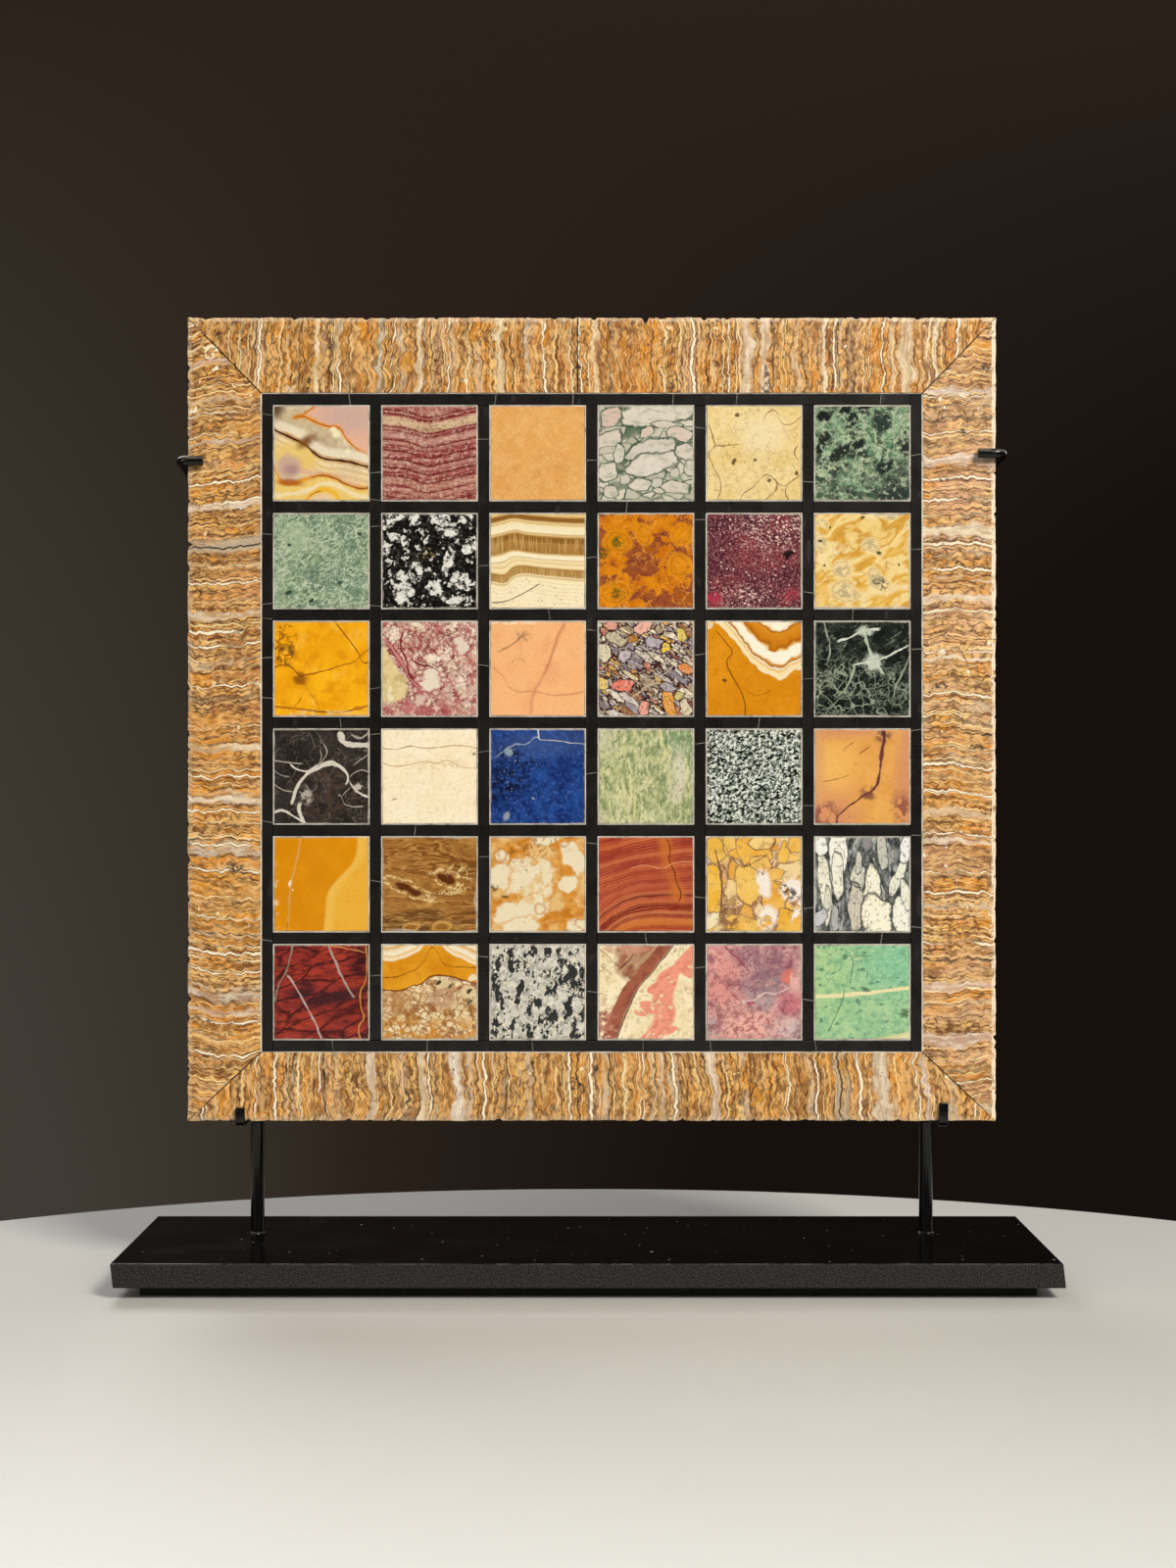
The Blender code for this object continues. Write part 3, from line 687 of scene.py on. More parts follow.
def black_white_porphyry(s):
    s.bend(14, 0.05, 3)
    s.colour = linear("0E0E0D")
    s.clouds("22 55 5 3 34342F 80, 16 62 3 3 D2D1CA 100")
    grains = s.patches(13, 0.49, 0.05, 4, rough=0.7)
    for u, v, across, down, turn in rows(
            "62 7 10 10 0, 88 5 8 6 40, 5 11 8 5 40, 15 2 10 5 0, 24 30 3.5 8 20, 12 25 8 5 -40, "
            "93 35 10 7 30, 36 62 7 12 -20, 22 83 10 12 -50, 70 50 5 17 -25, 86 72 13 8 -30, "
            "57 78 8 10 30, 4 39 5 6 0, 20 65 7 5 20, 36 6 6 6 50, 76 93 9 5 0, 48 28 6 2.5 90, "
            "73 20 7 5 0"):
        s.lay(s.both(s.ellipse(u, v, across, down, turn, 0.1, 1.3, 14), grains), "E6E5DF")
    s.lay(s.specks(22, 0.26, 0.3), "D9D7CF", 0.9)
    s.lay(s.specks(26, 0.3, 0.3), "0C0C0B", 0.8)
    s.lay(s.both(s.ellipse(0.47, 0.42, 0.1, 0.06, soft=0.5), s.patches(30, 0.58, 0.05)), "A08A50", 0.8)


def brown_ribbon_onyx(s):
    s.bend(4, 0.018, 3)
    upper = s.path("-10 5, 0 3, 13 0, 25 -2.5, 40 -0.5, 70 2, 110 3")
    lower = s.path("-10 9, 0 7, 16 8, 22 3, 30 -1, 60 1, 110 5")
    blend = s.steps(s.v, 0.35, 0.7)
    level = s.plus(s.both(lower, blend), s.both(upper, s.outside(blend)))
    s.colour = s.ramp(level,
                      "0 E6CA8A, 1.5 CDA763, 3 8A5C20, 6.5 96682A, 8 E6CC90, 10 DCBC7A, 12 F6E6BE, "
                      "19 F8EBC8, 20.5 CBA562, 21.5 EACF94, 23 B48540, 25 8A5E22, 29 986B2C, 30 B08444, "
                      "40 A67A3A, 42 E0C286, 43 F8EAC6, 46.5 FBF0D2, 47.5 D2AF70, 48.5 F6E5BA, 52 E6CA8E, "
                      "53 F8E8BE, 56 ECD59C, 57 A67A3C, 59 B68E50, 64.5 BC9556, 65.5 F8E8C0, 67 D0B074, "
                      "68.5 F8E8BC, 72 F9EBC8")
    streaks = s.patches(4, 0.55, 0.05, 3, stretch=(9, 0.8, 1))
    brown = s.either(s.both(s.steps(level, 0.22, 0.26), s.steps(level, 0.42, 0.4)),
                     s.both(s.steps(level, 0.57, 0.58), s.steps(level, 0.66, 0.64)))
    s.lay(s.both(streaks, brown), "D6B274", 0.5)
    s.lay(s.both(s.patches(6, 0.56, 0.06, stretch=(9, 0.6, 1)), brown), "7A501C", 0.45)
    pale = s.past(level, 0.01, 0.7)
    layers = s.math("SINE", s.times(s.times_plus(s.wave(6), 0.05, level), 150))
    s.lay(s.both(s.steps(layers, 0.5, 1), s.past(level, 0.02, 0.66), s.patches(4, 0.44, 0.1)), "E0C88E",
          0.55)
    s.lay(s.both(s.specks(30, 0.24, 0.4), pale), "A88C58", 0.85)
    s.lay(s.both(s.specks(22, 0.2, 0.4), pale, s.steps(s.v, 0.82, 0.9)), "9A7C4A", 0.8)
    s.lay(s.both(s.threads(8, 0.02, (0.4, 5, 1), 0.05), s.past(level, 0.02, 0.76)), "DCC48E", 0.7)
    s.vein("2 94, 15 93, 30 87, 42 80, 52 74", 0.008, "4E4630", uneven=0.3)


def orange_jasper(s):
    s.bend(8, 0.05, 4)
    s.colour = s.mix(s.patches(6, 0.5, 0.15, 4), "C66E0C", "DE8A12")
    maroon = s.patches(3.2, 0.5, 0.03, 5, rough=0.68)
    s.lay(maroon, "9A5028", 0.95)
    s.lay(s.both(maroon, s.patches(14, 0.5, 0.06, 4)), "843E2A", 0.85)
    orbs = s.times_plus(s.wave(11), 0.8, s.cells(5)["Centre"])
    s.lay(s.both(s.steps(s.off(orbs, 0.34), 0.06, 0), s.patches(6, 0.48, 0.06)), "F0A034", 0.7)
    s.lay(s.both(s.steps(orbs, 0.3, 0.2), s.patches(5, 0.5, 0.08)), "B8640E", 0.6)
    for u, v, across, down in rows("20 30 16 14, 18 84 20 13, 88 22 14 13, 47 22 8 13, 85 55 13 14"):
        s.lay(s.ellipse(u, v, across, down, 0.2, 0.15, 0.8, 7), "E2900C", 0.8)
        ring = s.ellipse(u, v, across * 0.7, down * 0.7, 0.2, 0.1, 0.8, 8, output="Distance")
        s.lay(s.steps(s.off(ring, 1), 0.16, 0), "B4680C", 0.7)
    for u, v in rows("20 30, 19 85, 4 42"):
        s.lay(s.both(s.ellipse(u, v, 0.06, 0.06, soft=0.5), s.patches(30, 0.48, 0.08)), "4A5216", 0.85)
    s.lay(s.threads(14, 0.03, broken=0.45), "F0A83C", 0.65)
    s.lay(s.threads(10, 0.025, broken=0.48), "6A2A18", 0.7)
    s.lay(s.specks(28, 0.24, 0.35), "6E3010", 0.75)


def red_porphyry(s):
    s.bend(20, 0.02, 2)
    s.colour = s.mix(s.patches(6, 0.5, 0.15, 4), "5E2834", "4A1C2A")
    s.clouds("4 58 12 4 8C323A 70")
    s.spots("60 45 35 14 0 60 30 8E3A42 60")
    s.clouds("30 54 6 3 3C1622 60")
    s.lay(s.patches(38, 0.59, 0.04, 2, (1, 1.5, 1), 0.4), "A87074", 0.6)
    s.lay(s.patches(46, 0.61, 0.04, 2, (1.5, 1, 1), 0.3), "C89494", 0.6)
    crowd = s.either(s.ellipse(0.72, 0.14, 0.34, 0.22, soft=0.6),
                     s.ellipse(0.4, 0.88, 0.24, 0.12, soft=0.6))
    s.lay(s.both(s.patches(32, 0.59, 0.03, 2, (1, 1.5, 1), -0.4), crowd), "EBCCC4", 0.95)
    s.lay(s.specks(30, 0.3, 0.26), "EACCC4", 0.9)
    s.lay(s.specks(32, 0.26, 0.3), "E0B4AE", 0.9)
    s.lay(s.both(s.ellipse(0.07, 0.91, 0.1, 0.08, soft=0.3, wobble=0.8), s.patches(20, 0.42, 0.08)),
          "B03048", 0.85)
    s.lay(s.both(s.ellipse(0.88, 0.86, 0.1, 0.06, soft=0.5, wobble=0.8), s.patches(20, 0.5, 0.08)),
          "A83848", 0.7)
    star = s.either(s.ellipse(0.86, 0.42, 0.06, 0.03, 0.2, 0.2, 1.5, 18),
                    s.ellipse(0.86, 0.43, 0.02, 0.06, -0.4, 0.2, 1.5, 18))
    s.lay(star, "1A0A0E", 0.95)


def shell_yellow_marble(s):
    s.bend(2, 0.26, 2)
    s.bend(6, 0.04, 3)
    swirl = s.patches(1.5, detail=3, stretch=(1, 2.4, 1), turn=0.5, output="Value")
    s.colour = s.ramp(swirl,
                      "30 EED28C, 38 E9C26C, 43 DDA83E, 47 EED088, 52 F0D998, 56 DFAE4C, 60 CF9838, "
                      "63 EAC878, 70 F0D898")
    s.lay(s.threads(3, 0.02, (1, 1.8, 1), -0.9, 1, 0.44), "BE8630", 0.7)
    s.clouds("3 62 5 3 F4E2B0 70")
    for u, v, across, down, turn in rows(
            "35 57 9 7 10, 66 70 6 11 50, 5 33 5 8 30, 60 30 6 8 -60, 10 10 5 4 0, 72 1 10 3 0, "
            "36 83 11 10 0, 97 12 4 5 0"):
        reach = s.ellipse(u, v, across, down, turn, 0.1, 1.8, 8, output="Distance")
        s.lay(s.steps(reach, 1.5, 1.2), "EED9A4", 0.85)
        s.lay(s.both(s.steps(reach, 1.25, 1.1), s.steps(reach, 0.95, 1.1)), "C49A50", 0.6)
        s.lay(s.both(s.steps(reach, 1.1, 0.7), s.patches(16, 0.5, 0.06)), "B0A27C", 0.75)
    s.lay(s.both(s.ellipse(0.67, 0.72, 0.06, 0.1, 0.5, 0.4, 1), s.threads(12, 0.05, broken=0.3)), "4A4030",
          0.9)
    for u, v, size in rows("66 39 2.6, 4 32 2, 50 6 1.4, 17 15 1.2, 89 54 1.2, 13 52 1.4"):
        s.lay(s.ellipse(u, v, size * 1.2, size, soft=0.3, wobble=1.2, scale=18), "3A3218", 0.9)


def siena_yellow_marble(s):
    s.bend(9, 0.018, 3)
    s.colour = s.mix(s.patches(3, 0.5, 0.2, 4), "F0A208", "FCB91A")
    s.clouds("8 58 10 4 DD8C08 60, 5 62 8 5 FBC244 60")
    brown = "7E4408"
    s.vein("64 -2, 68 5, 80 20, 90 35, 94 43, 100 43", 0.012, brown)
    s.vein("30 57, 50 53, 70 47, 86 42, 92 36, 102 28", 0.009, "945212")
    s.vein("0 50, 8 46, 18 48, 26 56, 32 58", 0.01, brown)
    s.vein("27 60, 33 68, 40 78, 46 88, 50 98", 0.007, "A0621C")
    s.vein("29 80, 24 88, 18 92", 0.007, "A0621C", upright=True)
    s.vein("0 90, 20 92, 45 95, 70 96, 85 93, 100 89", 0.012, "A0601A")
    s.spots("89 92 5 2.5 -10 30 30 B86A20 70")
    scribble = s.ellipse(0.12, 0.25, 0.13, 0.22, 0, 0.15, 0.4)
    s.lay(s.both(scribble, s.threads(7, 0.05, broken=0.2)), "92500E", 0.9)
    s.lay(s.both(s.ellipse(0.12, 0.36, 0.11, 0.11, soft=0.3), s.threads(11, 0.07, broken=0.25)), "5E4418",
          0.9)
    s.lay(s.both(s.ellipse(0.27, 0.6, 0.07, 0.08, 0.6, 0.4, 0.9), s.patches(16, 0.42, 0.08)), "8E4E0C", 0.9)
    s.lay(s.both(s.ellipse(0.5, 0.97, 0.4, 0.03, soft=0.4), s.patches(9, 0.5, 0.1)), "F8DC90", 0.6)


def rose_veined_breccia(s):
    s.bend(9, 0.06, 4)
    s.colour = s.mix(s.patches(5, 0.5, 0.1, 5), "D2A898", "F6E6D2")
    s.clouds("3.4 58 8 4 DCA294 60, 4.4 57 5 4 E6D6B4 70, 26 55 6 3 A08A80 55, 34 60 5 3 F6ECDC 60")
    s.lay(s.threads(5, 0.05, detail=3, broken=0.4), "B0484C", 0.8)
    s.lay(s.threads(7, 0.04, detail=3, broken=0.38), "741824", 0.95)
    s.lay(s.threads(12, 0.05, detail=4, broken=0.46), "8A2C38", 0.85)
    s.clouds("8 64 3 4 9A3642 85")
    wall = "4 20, 14 33, 22 46, 30 60, 38 70, 42 78"
    s.vein(wall, 0.045, "7C2030", soft=0.3)
    s.vein(wall, 0.028, "CC8480", soft=0.3)
    s.vein("22 10, 20 28, 26 42, 28 55, 36 66", 0.014, "7C1C2C", upright=True)
    s.vein("32 42, 42 46, 55 50, 60 56", 0.014, "6E2030")
    s.clasts("52 62 13 10 20 EADCCA, 40 84 8 6 70 D8BEB0, 27 93 7 5 0 DCAEA2, 84 26 8 8 20 E4D4C2",
             "A8525A", 1.12, 0.2, 0.22, 2.4, 9)
    s.lay(s.both(s.ellipse(0.55, 0.65, 0.3, 0.3, soft=0.5), s.threads(16, 0.05, broken=0.5)), "A8606A", 0.7)
    s.lay(s.both(s.ellipse(0.5, 0.95, 0.5, 0.12, soft=0.5, wobble=1), s.patches(9, 0.52, 0.06, 4)),
          "B05A60", 0.75)
    cream = s.outside(s.past(s.path("0 22, 10 40, 17 50, 26 66, 24 78, 5 86", True), 0.015))
    cream = s.both(cream, s.steps(s.v, 0.24, 0.3), s.steps(s.v, 0.88, 0.82))
    s.lay(cream, "E3CE98")
    s.lay(s.both(cream, s.patches(6, 0.5, 0.06, 4)), "C4AE70", 0.8)
    s.lay(s.both(cream, s.patches(7, 0.6, 0.05)), "F0E2C4", 0.9)


def flesh_pink_marble(s):
    s.bend(7, 0.04, 4)
    s.colour = linear("F6B57C")
    s.clouds("3 50 20 4 F8BE88 80, 4 60 12 4 EAA474 60")
    s.vein("80 0, 72 16, 66 33, 60 50, 52 64, 46 76, 42 98", 0.035, "DA8C66", upright=True, soft=0.95,
           share=0.6)
    s.vein("78 0, 70 18, 66 33, 58 52", 0.008, "A8603E", upright=True, share=0.55)
    s.vein("2 48, 12 57, 24 72, 45 74, 70 78, 100 74", 0.014, "C47C58", soft=0.9, share=0.6)
    s.vein("8 32, 20 26, 28 20, 38 10", 0.014, "A87650", soft=0.8, share=0.8)
    s.vein("22 44, 32 40, 38 46", 0.02, "C08C60", soft=0.9, share=0.6)
    s.lay(s.both(s.ellipse(0.28, 0.42, 0.12, 0.07, soft=0.6), s.threads(12, 0.03)), "94683E", 0.45)
    s.lay(s.both(s.ellipse(0.34, 0.16, 0.08, 0.06, -0.6, 0.6), s.patches(18, 0.52, 0.08)), "8E6C48", 0.5)
    s.lay(s.specks(14, 0.12, 0.15), "7A3E22", 0.8)
    s.lay(s.both(s.ellipse(0.3, 0, 0.35, 0.03, soft=0.3), s.patches(8, 0.5, 0.04)), "FAE8C4", 0.8)


def fragment_breccia(s):
    s.bend(12, 0.05, 4)
    s.colour = s.mix(s.patches(24, 0.5, 0.08), "2A1014", "5A3836")
    tones = (
        "0 D6CEC8, 10 F4EAD2, 20 8E8690, 30 E0D8D2, 40 F0E2B4, 48 A8764C, 54 F0E6D6, 62 A8A0AC, 70 E8BC58, "
        "76 BCA888, 82 E4907A, 88 E8A45C, 93 84403A, 97 F0E0CC")
    for scale, stretch, edge in ((15, (0.7, 2, 1), 0.11), (8, (0.55, 1.9, 1), 0.06)):
        found = s.cells(scale, stretch, -0.6)
        stone = s.ramp(found["Piece"], tones, "CONSTANT")
        stone = s.mix(s.patches(14, 0.5, 0.15), stone, s.mix(0.4, stone, "5E4A48"))
        chosen = 1 if scale == 15 else s.math("GREATER_THAN", found["Tone"], 0.5)
        s.lay(s.both(s.steps(found["Edge"], edge * 1.5, edge * 0.8), chosen), "33181C", 0.9)
        s.lay(s.both(s.steps(found["Edge"], edge * 0.7, edge * 1.2), chosen), stone)
    s.clasts(
        "47 6 9 6 20 EDB4A4, 14 4 6 5 0 E09A8C, 71 28 5 4.5 30 EEC844, 26 68 10 6 -10 E8806C, "
        "74 87 5.5 15 25 E4A248, 48 92 5 8 10 EAA290, 92 50 7 4 -60 E09050, 85 79 4.5 4 0 CEC47C, "
        "18 18 10 5.5 -50 C6BE9C, 58 22 8 5.5 -30 B4ACB8, 6 33 7 9 40 DCD4B8, 4 66 6 6 20 E8C878, "
        "92 92 5 9 50 DCD0B4, 88 15 4 7 60 DCC460, 36 18 5 4 30 B07830, 27 36 7 5 50 C0B8C0, "
        "74 70 9 4 -30 A8A4AC", "38191E", 1.2, 0.85, 0.08, 1.3, 9)
    s.clouds("30 56 6 4 5A3A38 50, 36 60 5 3 E8DCC8 50")
    s.vein("82 40, 74 52, 62 60, 52 68, 36 80", 0.014, "C8B49C", upright=True, share=0.9)


def honey_onyx(s):
    s.bend(7, 0.03, 3)
    s.colour = s.mix(s.patches(3, 0.5, 0.25, 4), "D4860A", "E2961A")
    s.clouds("12 60 10 3 C67806 50")
    edge = s.path("-10 -25, 5 -2, 16 7, 30 22, 42 38, 56 52, 70 60, 82 61, 90 54, 110 50")
    scallop = s.noise(s.at, 11, 1)
    edge = s.times_plus(s.minus(scallop, 0.5), 0.07, edge)
    inside = s.times(edge, -1)
    lobes = s.steps(s.cells(6, jitter=0.9)["Centre"], 0, 0.5, 0.06, -0.02)
    inside = s.plus(inside, s.both(lobes, s.steps(inside, 0.26, 0.34)))
    bands = s.ramp(inside,
                   "0 E0A03C, 2 F6E6BE, 7 F4DEAA, 9.5 E8BE70, 11.5 FAF0D6, 13.5 B06A12, 15.5 D0903A, "
                   "17 F8E8C4, 20 FCF4E2, 28 FAF2DE, 30 E6AE58, 32 A85E08, 36 C87A10, 46 D88E20, "
                   "49 A4600E, 51 F4DCA8, 56 FCF4E0, 75 FCF4E4, 100 F2E0C0")
    s.lay(s.steps(inside, -0.005, 0.012), bands)
    s.vein("10 10, 22 24, 27 32, 21 42, 25 54, 33 68, 39 82, 40 102", 0.01, "8A4E06", upright=True,
           uneven=0.3)
    s.vein("30 32, 25 40, 29 48", 0.009, "B87818", upright=True)
    s.vein("42 72, 52 78, 62 76, 68 72", 0.009, "A86408", share=0.8)
    s.spots("19 62 2.5 1.8 0 12 30 5E3E0C 90, 2 2 5 6 0 12 30 F4E4C0 70")


def green_black_serpentine(s):
    s.bend(9, 0.05, 4)
    s.bend(22, 0.014, 3)
    s.colour = s.mix(s.patches(5, 0.5, 0.15, 4), "101411", "1C221D")
    s.clouds("16 60 8 4 3C443C 70")
    lower = s.steps(s.times_plus(s.u, -0.2, s.v), 0.2, 0.5)
    s.lay(s.both(s.threads(4, 0.026, detail=5, broken=0.38), lower), "B0BCA6", 0.75)
    s.lay(s.both(s.threads(7, 0.03, detail=5, broken=0.42), lower), "8E9C8A", 0.65)
    s.lay(s.both(s.steps(s.cells(7)["Edge"], 0.04, 0), lower, s.patches(3, 0.46, 0.08)), "A9B6A0", 0.65)
    s.lay(s.threads(6, 0.02, (1, 2.4, 1), 0.7, 4, 0.45), "96A490", 0.75)
    s.lay(s.threads(14, 0.035, detail=4, broken=0.5), "5A6456", 0.6)
    pale, white = ("B8C2B0", "DCE0D4")
    s.vein("24 21, 38 16, 50 10, 68 8", 0.013, white)
    s.vein("52 5, 53 15, 56 25, 60 36, 66 46, 72 56", 0.024, pale, upright=True)
    s.vein("40 46, 55 43, 68 40, 82 34, 98 25", 0.013, white)
    s.lay(s.both(s.ellipse(0.62, 0.43, 0.1, 0.09, 0.5, 0.4, 1.6, 12), s.patches(16, 0.4, 0.1)), "CCD4C6",
          0.95)
    s.lay(s.both(s.ellipse(0.52, 0.1, 0.08, 0.05, 0, 0.4, 1.4, 12), s.patches(16, 0.4, 0.1)), "C4CCBC",
          0.95)
    s.vein("10 0, 13 15, 16 28, 14 40", 0.012, "94A08C", upright=True)
    s.vein("42 45, 40 55, 36 65, 28 76", 0.015, "A4B09C", upright=True)
    s.vein("98 42, 92 55, 86 68, 83 80", 0.012, "98A490", upright=True)


def black_shell_limestone(s):
    s.bend(6, 0.035, 3)
    s.colour = s.mix(s.patches(4, 0.5, 0.15, 4), "241F1D", "332D2A")
    s.lay(s.both(s.ellipse(0.55, 0.66, 0.34, 0.26, soft=0.4), s.patches(12, 0.52, 0.08, 4)), "4E3E32", 0.7)
    s.lay(s.threads(4, 0.012, detail=1, broken=0.44), "7A7268", 0.75)
    s.lay(s.threads(7, 0.018, detail=2, broken=0.44), "6E665E", 0.75)
    s.lay(s.threads(13, 0.025, detail=1, broken=0.5), "645C54", 0.7)
    s.clouds("30 62 5 3 5A524B 60")
    shell, thin = ("D6D0C4", "A39C92")
    for points, width, paint, upright in (("31 50, 25 60, 21 70, 19 79", 0.022, shell, True), (
            "28 55, 36 46, 46 40, 56 36, 66 37, 74 43, 79 52", 0.03, shell, False),
                                          ("74 42, 78 50, 76 58", 0.012, shell, True), (
            "68 8, 74 14, 82 16.5, 92 16.5, 102 16", 0.034, shell, False),
                                          ("82 5, 90 9, 97 6, 102 0", 0.014, thin, False), (
            "18 37, 24 42, 32 44, 42 44", 0.014, shell, False), ("0 33, 15 35, 30 36", 0.008, thin, False),
                                          ("53 15, 56 24, 52 32, 46 40", 0.009, thin, True), (
            "49 22, 50 30, 46 38", 0.007, thin, True), ("0 57, 8 63, 20 66", 0.008, thin, False), (
            "0 88, 8 86, 16 89, 24 94, 33 100", 0.015, shell, False),
                                          ("27 78, 27 88, 33 100", 0.022, shell, True), (
            "80 56, 86 64, 94 69, 102 72", 0.016, shell, False),
                                          ("80 50, 88 44, 97 44, 102 47", 0.009, thin, False), (
            "84 38, 92 32, 102 25", 0.007, thin, False), ("68 70, 67 76, 76 80, 94 81", 0.008, thin, False),
                                          ("73 70, 80 62", 0.009, thin, False),
                                          ("0 42, 7 48, 16 50", 0.006, thin, False)):
        s.vein(points, width, paint, upright, soft=0.3, uneven=0.35)
    s.lay(s.ellipse(0.71, 0.07, 0.035, 0.05, 0.4, 0.2, 0.5), shell)
    s.lay(s.both(s.ellipse(0.34, 0.7, 0.06, 0.1, 0.3, 0.4), s.patches(16, 0.5, 0.06)), "B6AFA4", 0.9)
    s.lay(s.both(s.ellipse(0.89, 0.62, 0.05, 0.05, soft=0.4), s.patches(18, 0.48, 0.06)), "C9C3B8", 0.9)


def ivory_limestone(s):
    s.bend(20, 0.012, 4)
    s.colour = linear("FAEAC8")
    s.clouds("4 50 20 4 FFF4DC 70, 22 60 10 4 DDC690 40")
    s.vein("0 20, 15 21, 30 18, 45 20, 60 19, 78 17, 100 20", 0.008, "BF965A", soft=0.7)
    s.vein("0 35, 12 39, 30 37, 45 34, 58 36, 68 33, 85 40, 100 41", 0.007, "C79E64", soft=0.8)
    s.lay(s.both(s.ellipse(0.66, 0.37, 0.3, 0.06, soft=0.6), s.patches(20, 0.5, 0.1)), "DDC084", 0.5)
    s.lay(s.specks(26, 0.16, 0.2), "B0905C", 0.65)
    s.spots("13 74 2.5 1 30 40 30 A08458 80, 97 26 2 1.2 50 40 30 5A4A34 80")


def lapis_lazuli(s):
    s.bend(10, 0.04, 4)
    s.colour = s.mix(s.patches(7, 0.5, 0.15, 4), "173270", "21468E")
    s.clouds("13 54 7 5 0F2460 80, 3 60 12 3 27509E 60")
    s.spots("55 16 60 14 10 60 60 4A5C88 35")
    dark = s.either(s.ellipse(0.14, 0.56, 0.26, 0.2, 0.5, 0.4, 1),
                    s.ellipse(0.28, 0.3, 0.22, 0.07, -0.4, 0.5, 1))
    s.lay(s.both(dark, s.patches(13, 0.47, 0.08, 4)), "0B1330", 0.9)
    s.clouds("36 60 6 3 4468B4 60")
    s.lay(s.specks(34, 0.16, 0.16), "93AAD4", 0.7)
    s.lay(s.both(dark, s.specks(26, 0.22, 0.3)), "9CACC4", 0.6)
    s.vein("6 30, 16 22, 26 16, 40 15, 46 9, 52 8", 0.009, "A3AFC0", soft=0.7, uneven=0.8, share=0.85)
    s.vein("50 4, 52 10, 62 11, 78 13, 100 16", 0.007, "C3C8CC", soft=0.7, uneven=0.7, share=0.9)
    s.vein("51 -2, 51 6, 52 10", 0.009, "CDD0CC", upright=True)
    for u, v, across, down in rows("20 24 4.5 3.5, 17 92 3 5, 45 73 2 1.2"):
        s.lay(s.ellipse(u, v, across, down, -0.5, 0.4, 1.2, 14), "93A3B0", 0.85)


def sage_green_marble(s):
    s.bend(7, 0.05, 4)
    s.colour = s.mix(s.patches(5, 0.5, 0.14, 5, (2, 0.8, 1)), "B2B886", "D4D2A0")
    s.spots("85 10 22 20 0 60 80 7D9E7C 80")
    s.lay(s.patches(11, 0.53, 0.07, 5, (1.7, 0.8, 1)), "7C8C60", 0.85)
    s.lay(s.patches(14, 0.57, 0.06, 4, (1.8, 0.7, 1)), "DEDCB4", 0.75)
    s.lay(s.both(s.steps(s.u, 0.5, 0.75), s.patches(9, 0.52, 0.06, 4, (1.8, 0.7, 1))), "6C8460", 0.5)
    for u, v, across, down, code in rows(
            "86 42 8 20 DCD8C2, 82 66 8 12 D6D0B6, 10 12 9 12 C7C6A6, 2 93 10 8 D0CBAA"):
        s.lay(s.ellipse(u, v, across, down, 0.1, 0.5, 1.3), code, 0.85)
    for points, width in (("65 0, 66 12, 70 24, 66 36", 0.03), ("74 16, 76 26, 73 38", 0.02), (
            "32 36, 35 50, 34 62, 38 80, 37 100", 0.018), ("93 30, 94 50, 98 70", 0.02)):
        s.vein(points, width, "D8D59C", upright=True, soft=0.9, uneven=0.9)
    s.lay(s.patches(26, 0.58, 0.06, 3, (1.6, 0.8, 1)), "64804F", 0.6)
    s.lay(s.threads(12, 0.02, (2, 1, 1), broken=0.45), "DDDCAC", 0.6)


def speckled_diorite(s):
    s.colour = s.mix(s.patches(9, 0.5, 0.15), "161E1A", "2A342E")
    s.lay(s.patches(22, 0.49, 0.03, 3, (1.3, 0.9, 1), 0.7, 0.65), "748076", 0.9)
    s.lay(s.patches(24, 0.53, 0.025, 3, (1.2, 0.9, 1), -0.5, 0.65), "E4EAE0")
    s.clouds("34 57 3 2 DCE2D8 90")
    s.lay(s.patches(26, 0.56, 0.025, 3, (0.9, 1.3, 1), 0.4), "141C18")


def orange_vein_marble(s):
    s.bend(6, 0.03, 3)
    s.bend(20, 0.016, 3)
    s.colour = s.mix(s.patches(3, 0.5, 0.2), "E0A050", "EAAE5E")
    s.spots("20 45 22 28 0 80 30 F2BA66 80")
    rim = s.either(s.ellipse(0.1, 0.95, 0.35, 0.3, 0.4, 0.6, 0.7),
                   s.ellipse(1, 0.5, 0.14, 0.9, 0, 0.7, 0.7))
    rim = s.either(rim, s.ellipse(0.3, -0.02, 0.6, 0.1, 0, 0.7, 0.7))
    s.lay(rim, "D4906A", 0.8)
    s.spots("2 30 8 60 0 70 30 D8A070 60")
    s.vein("72 0, 72 10, 70 25, 69 42, 66 56, 60 66", 0.04, "C98A6C", upright=True, soft=0.95, share=0.8)
    s.vein("72 0, 73 8, 71 22, 69 40, 67 52, 64 60, 57 67", 0.022, "6A3834", upright=True, soft=0.5,
           uneven=0.7)
    s.vein("24 92, 32 84, 42 77, 52 70, 60 66", 0.016, "6E4030", soft=0.5)
    s.vein("24 90, 23 100", 0.02, "7A4A42", upright=True)
    for u, v, across, down, code in rows(
            "56 68 8 7 743E3A, 72 7 7 8 4E2830, 8 90 16 12 8A4E46, 95 86 10 18 8A4A40"):
        s.lay(s.both(s.ellipse(u, v, across, down, 0.4, 0.6, 1.4, 12), s.patches(13, 0.48, 0.08)), code,
              0.85)
    for points, width in (("30 22, 36 17, 40 14", 0.01), ("47 26, 54 21, 58 18", 0.01), (
            "24 0, 26 8, 23 14", 0.008), ("8 56, 20 53, 36 49", 0.006)):
        s.vein(points, width, "8A5430", share=0.9)
    s.lay(s.specks(12, 0.13, 0.3), "7E4A3A", 0.75)


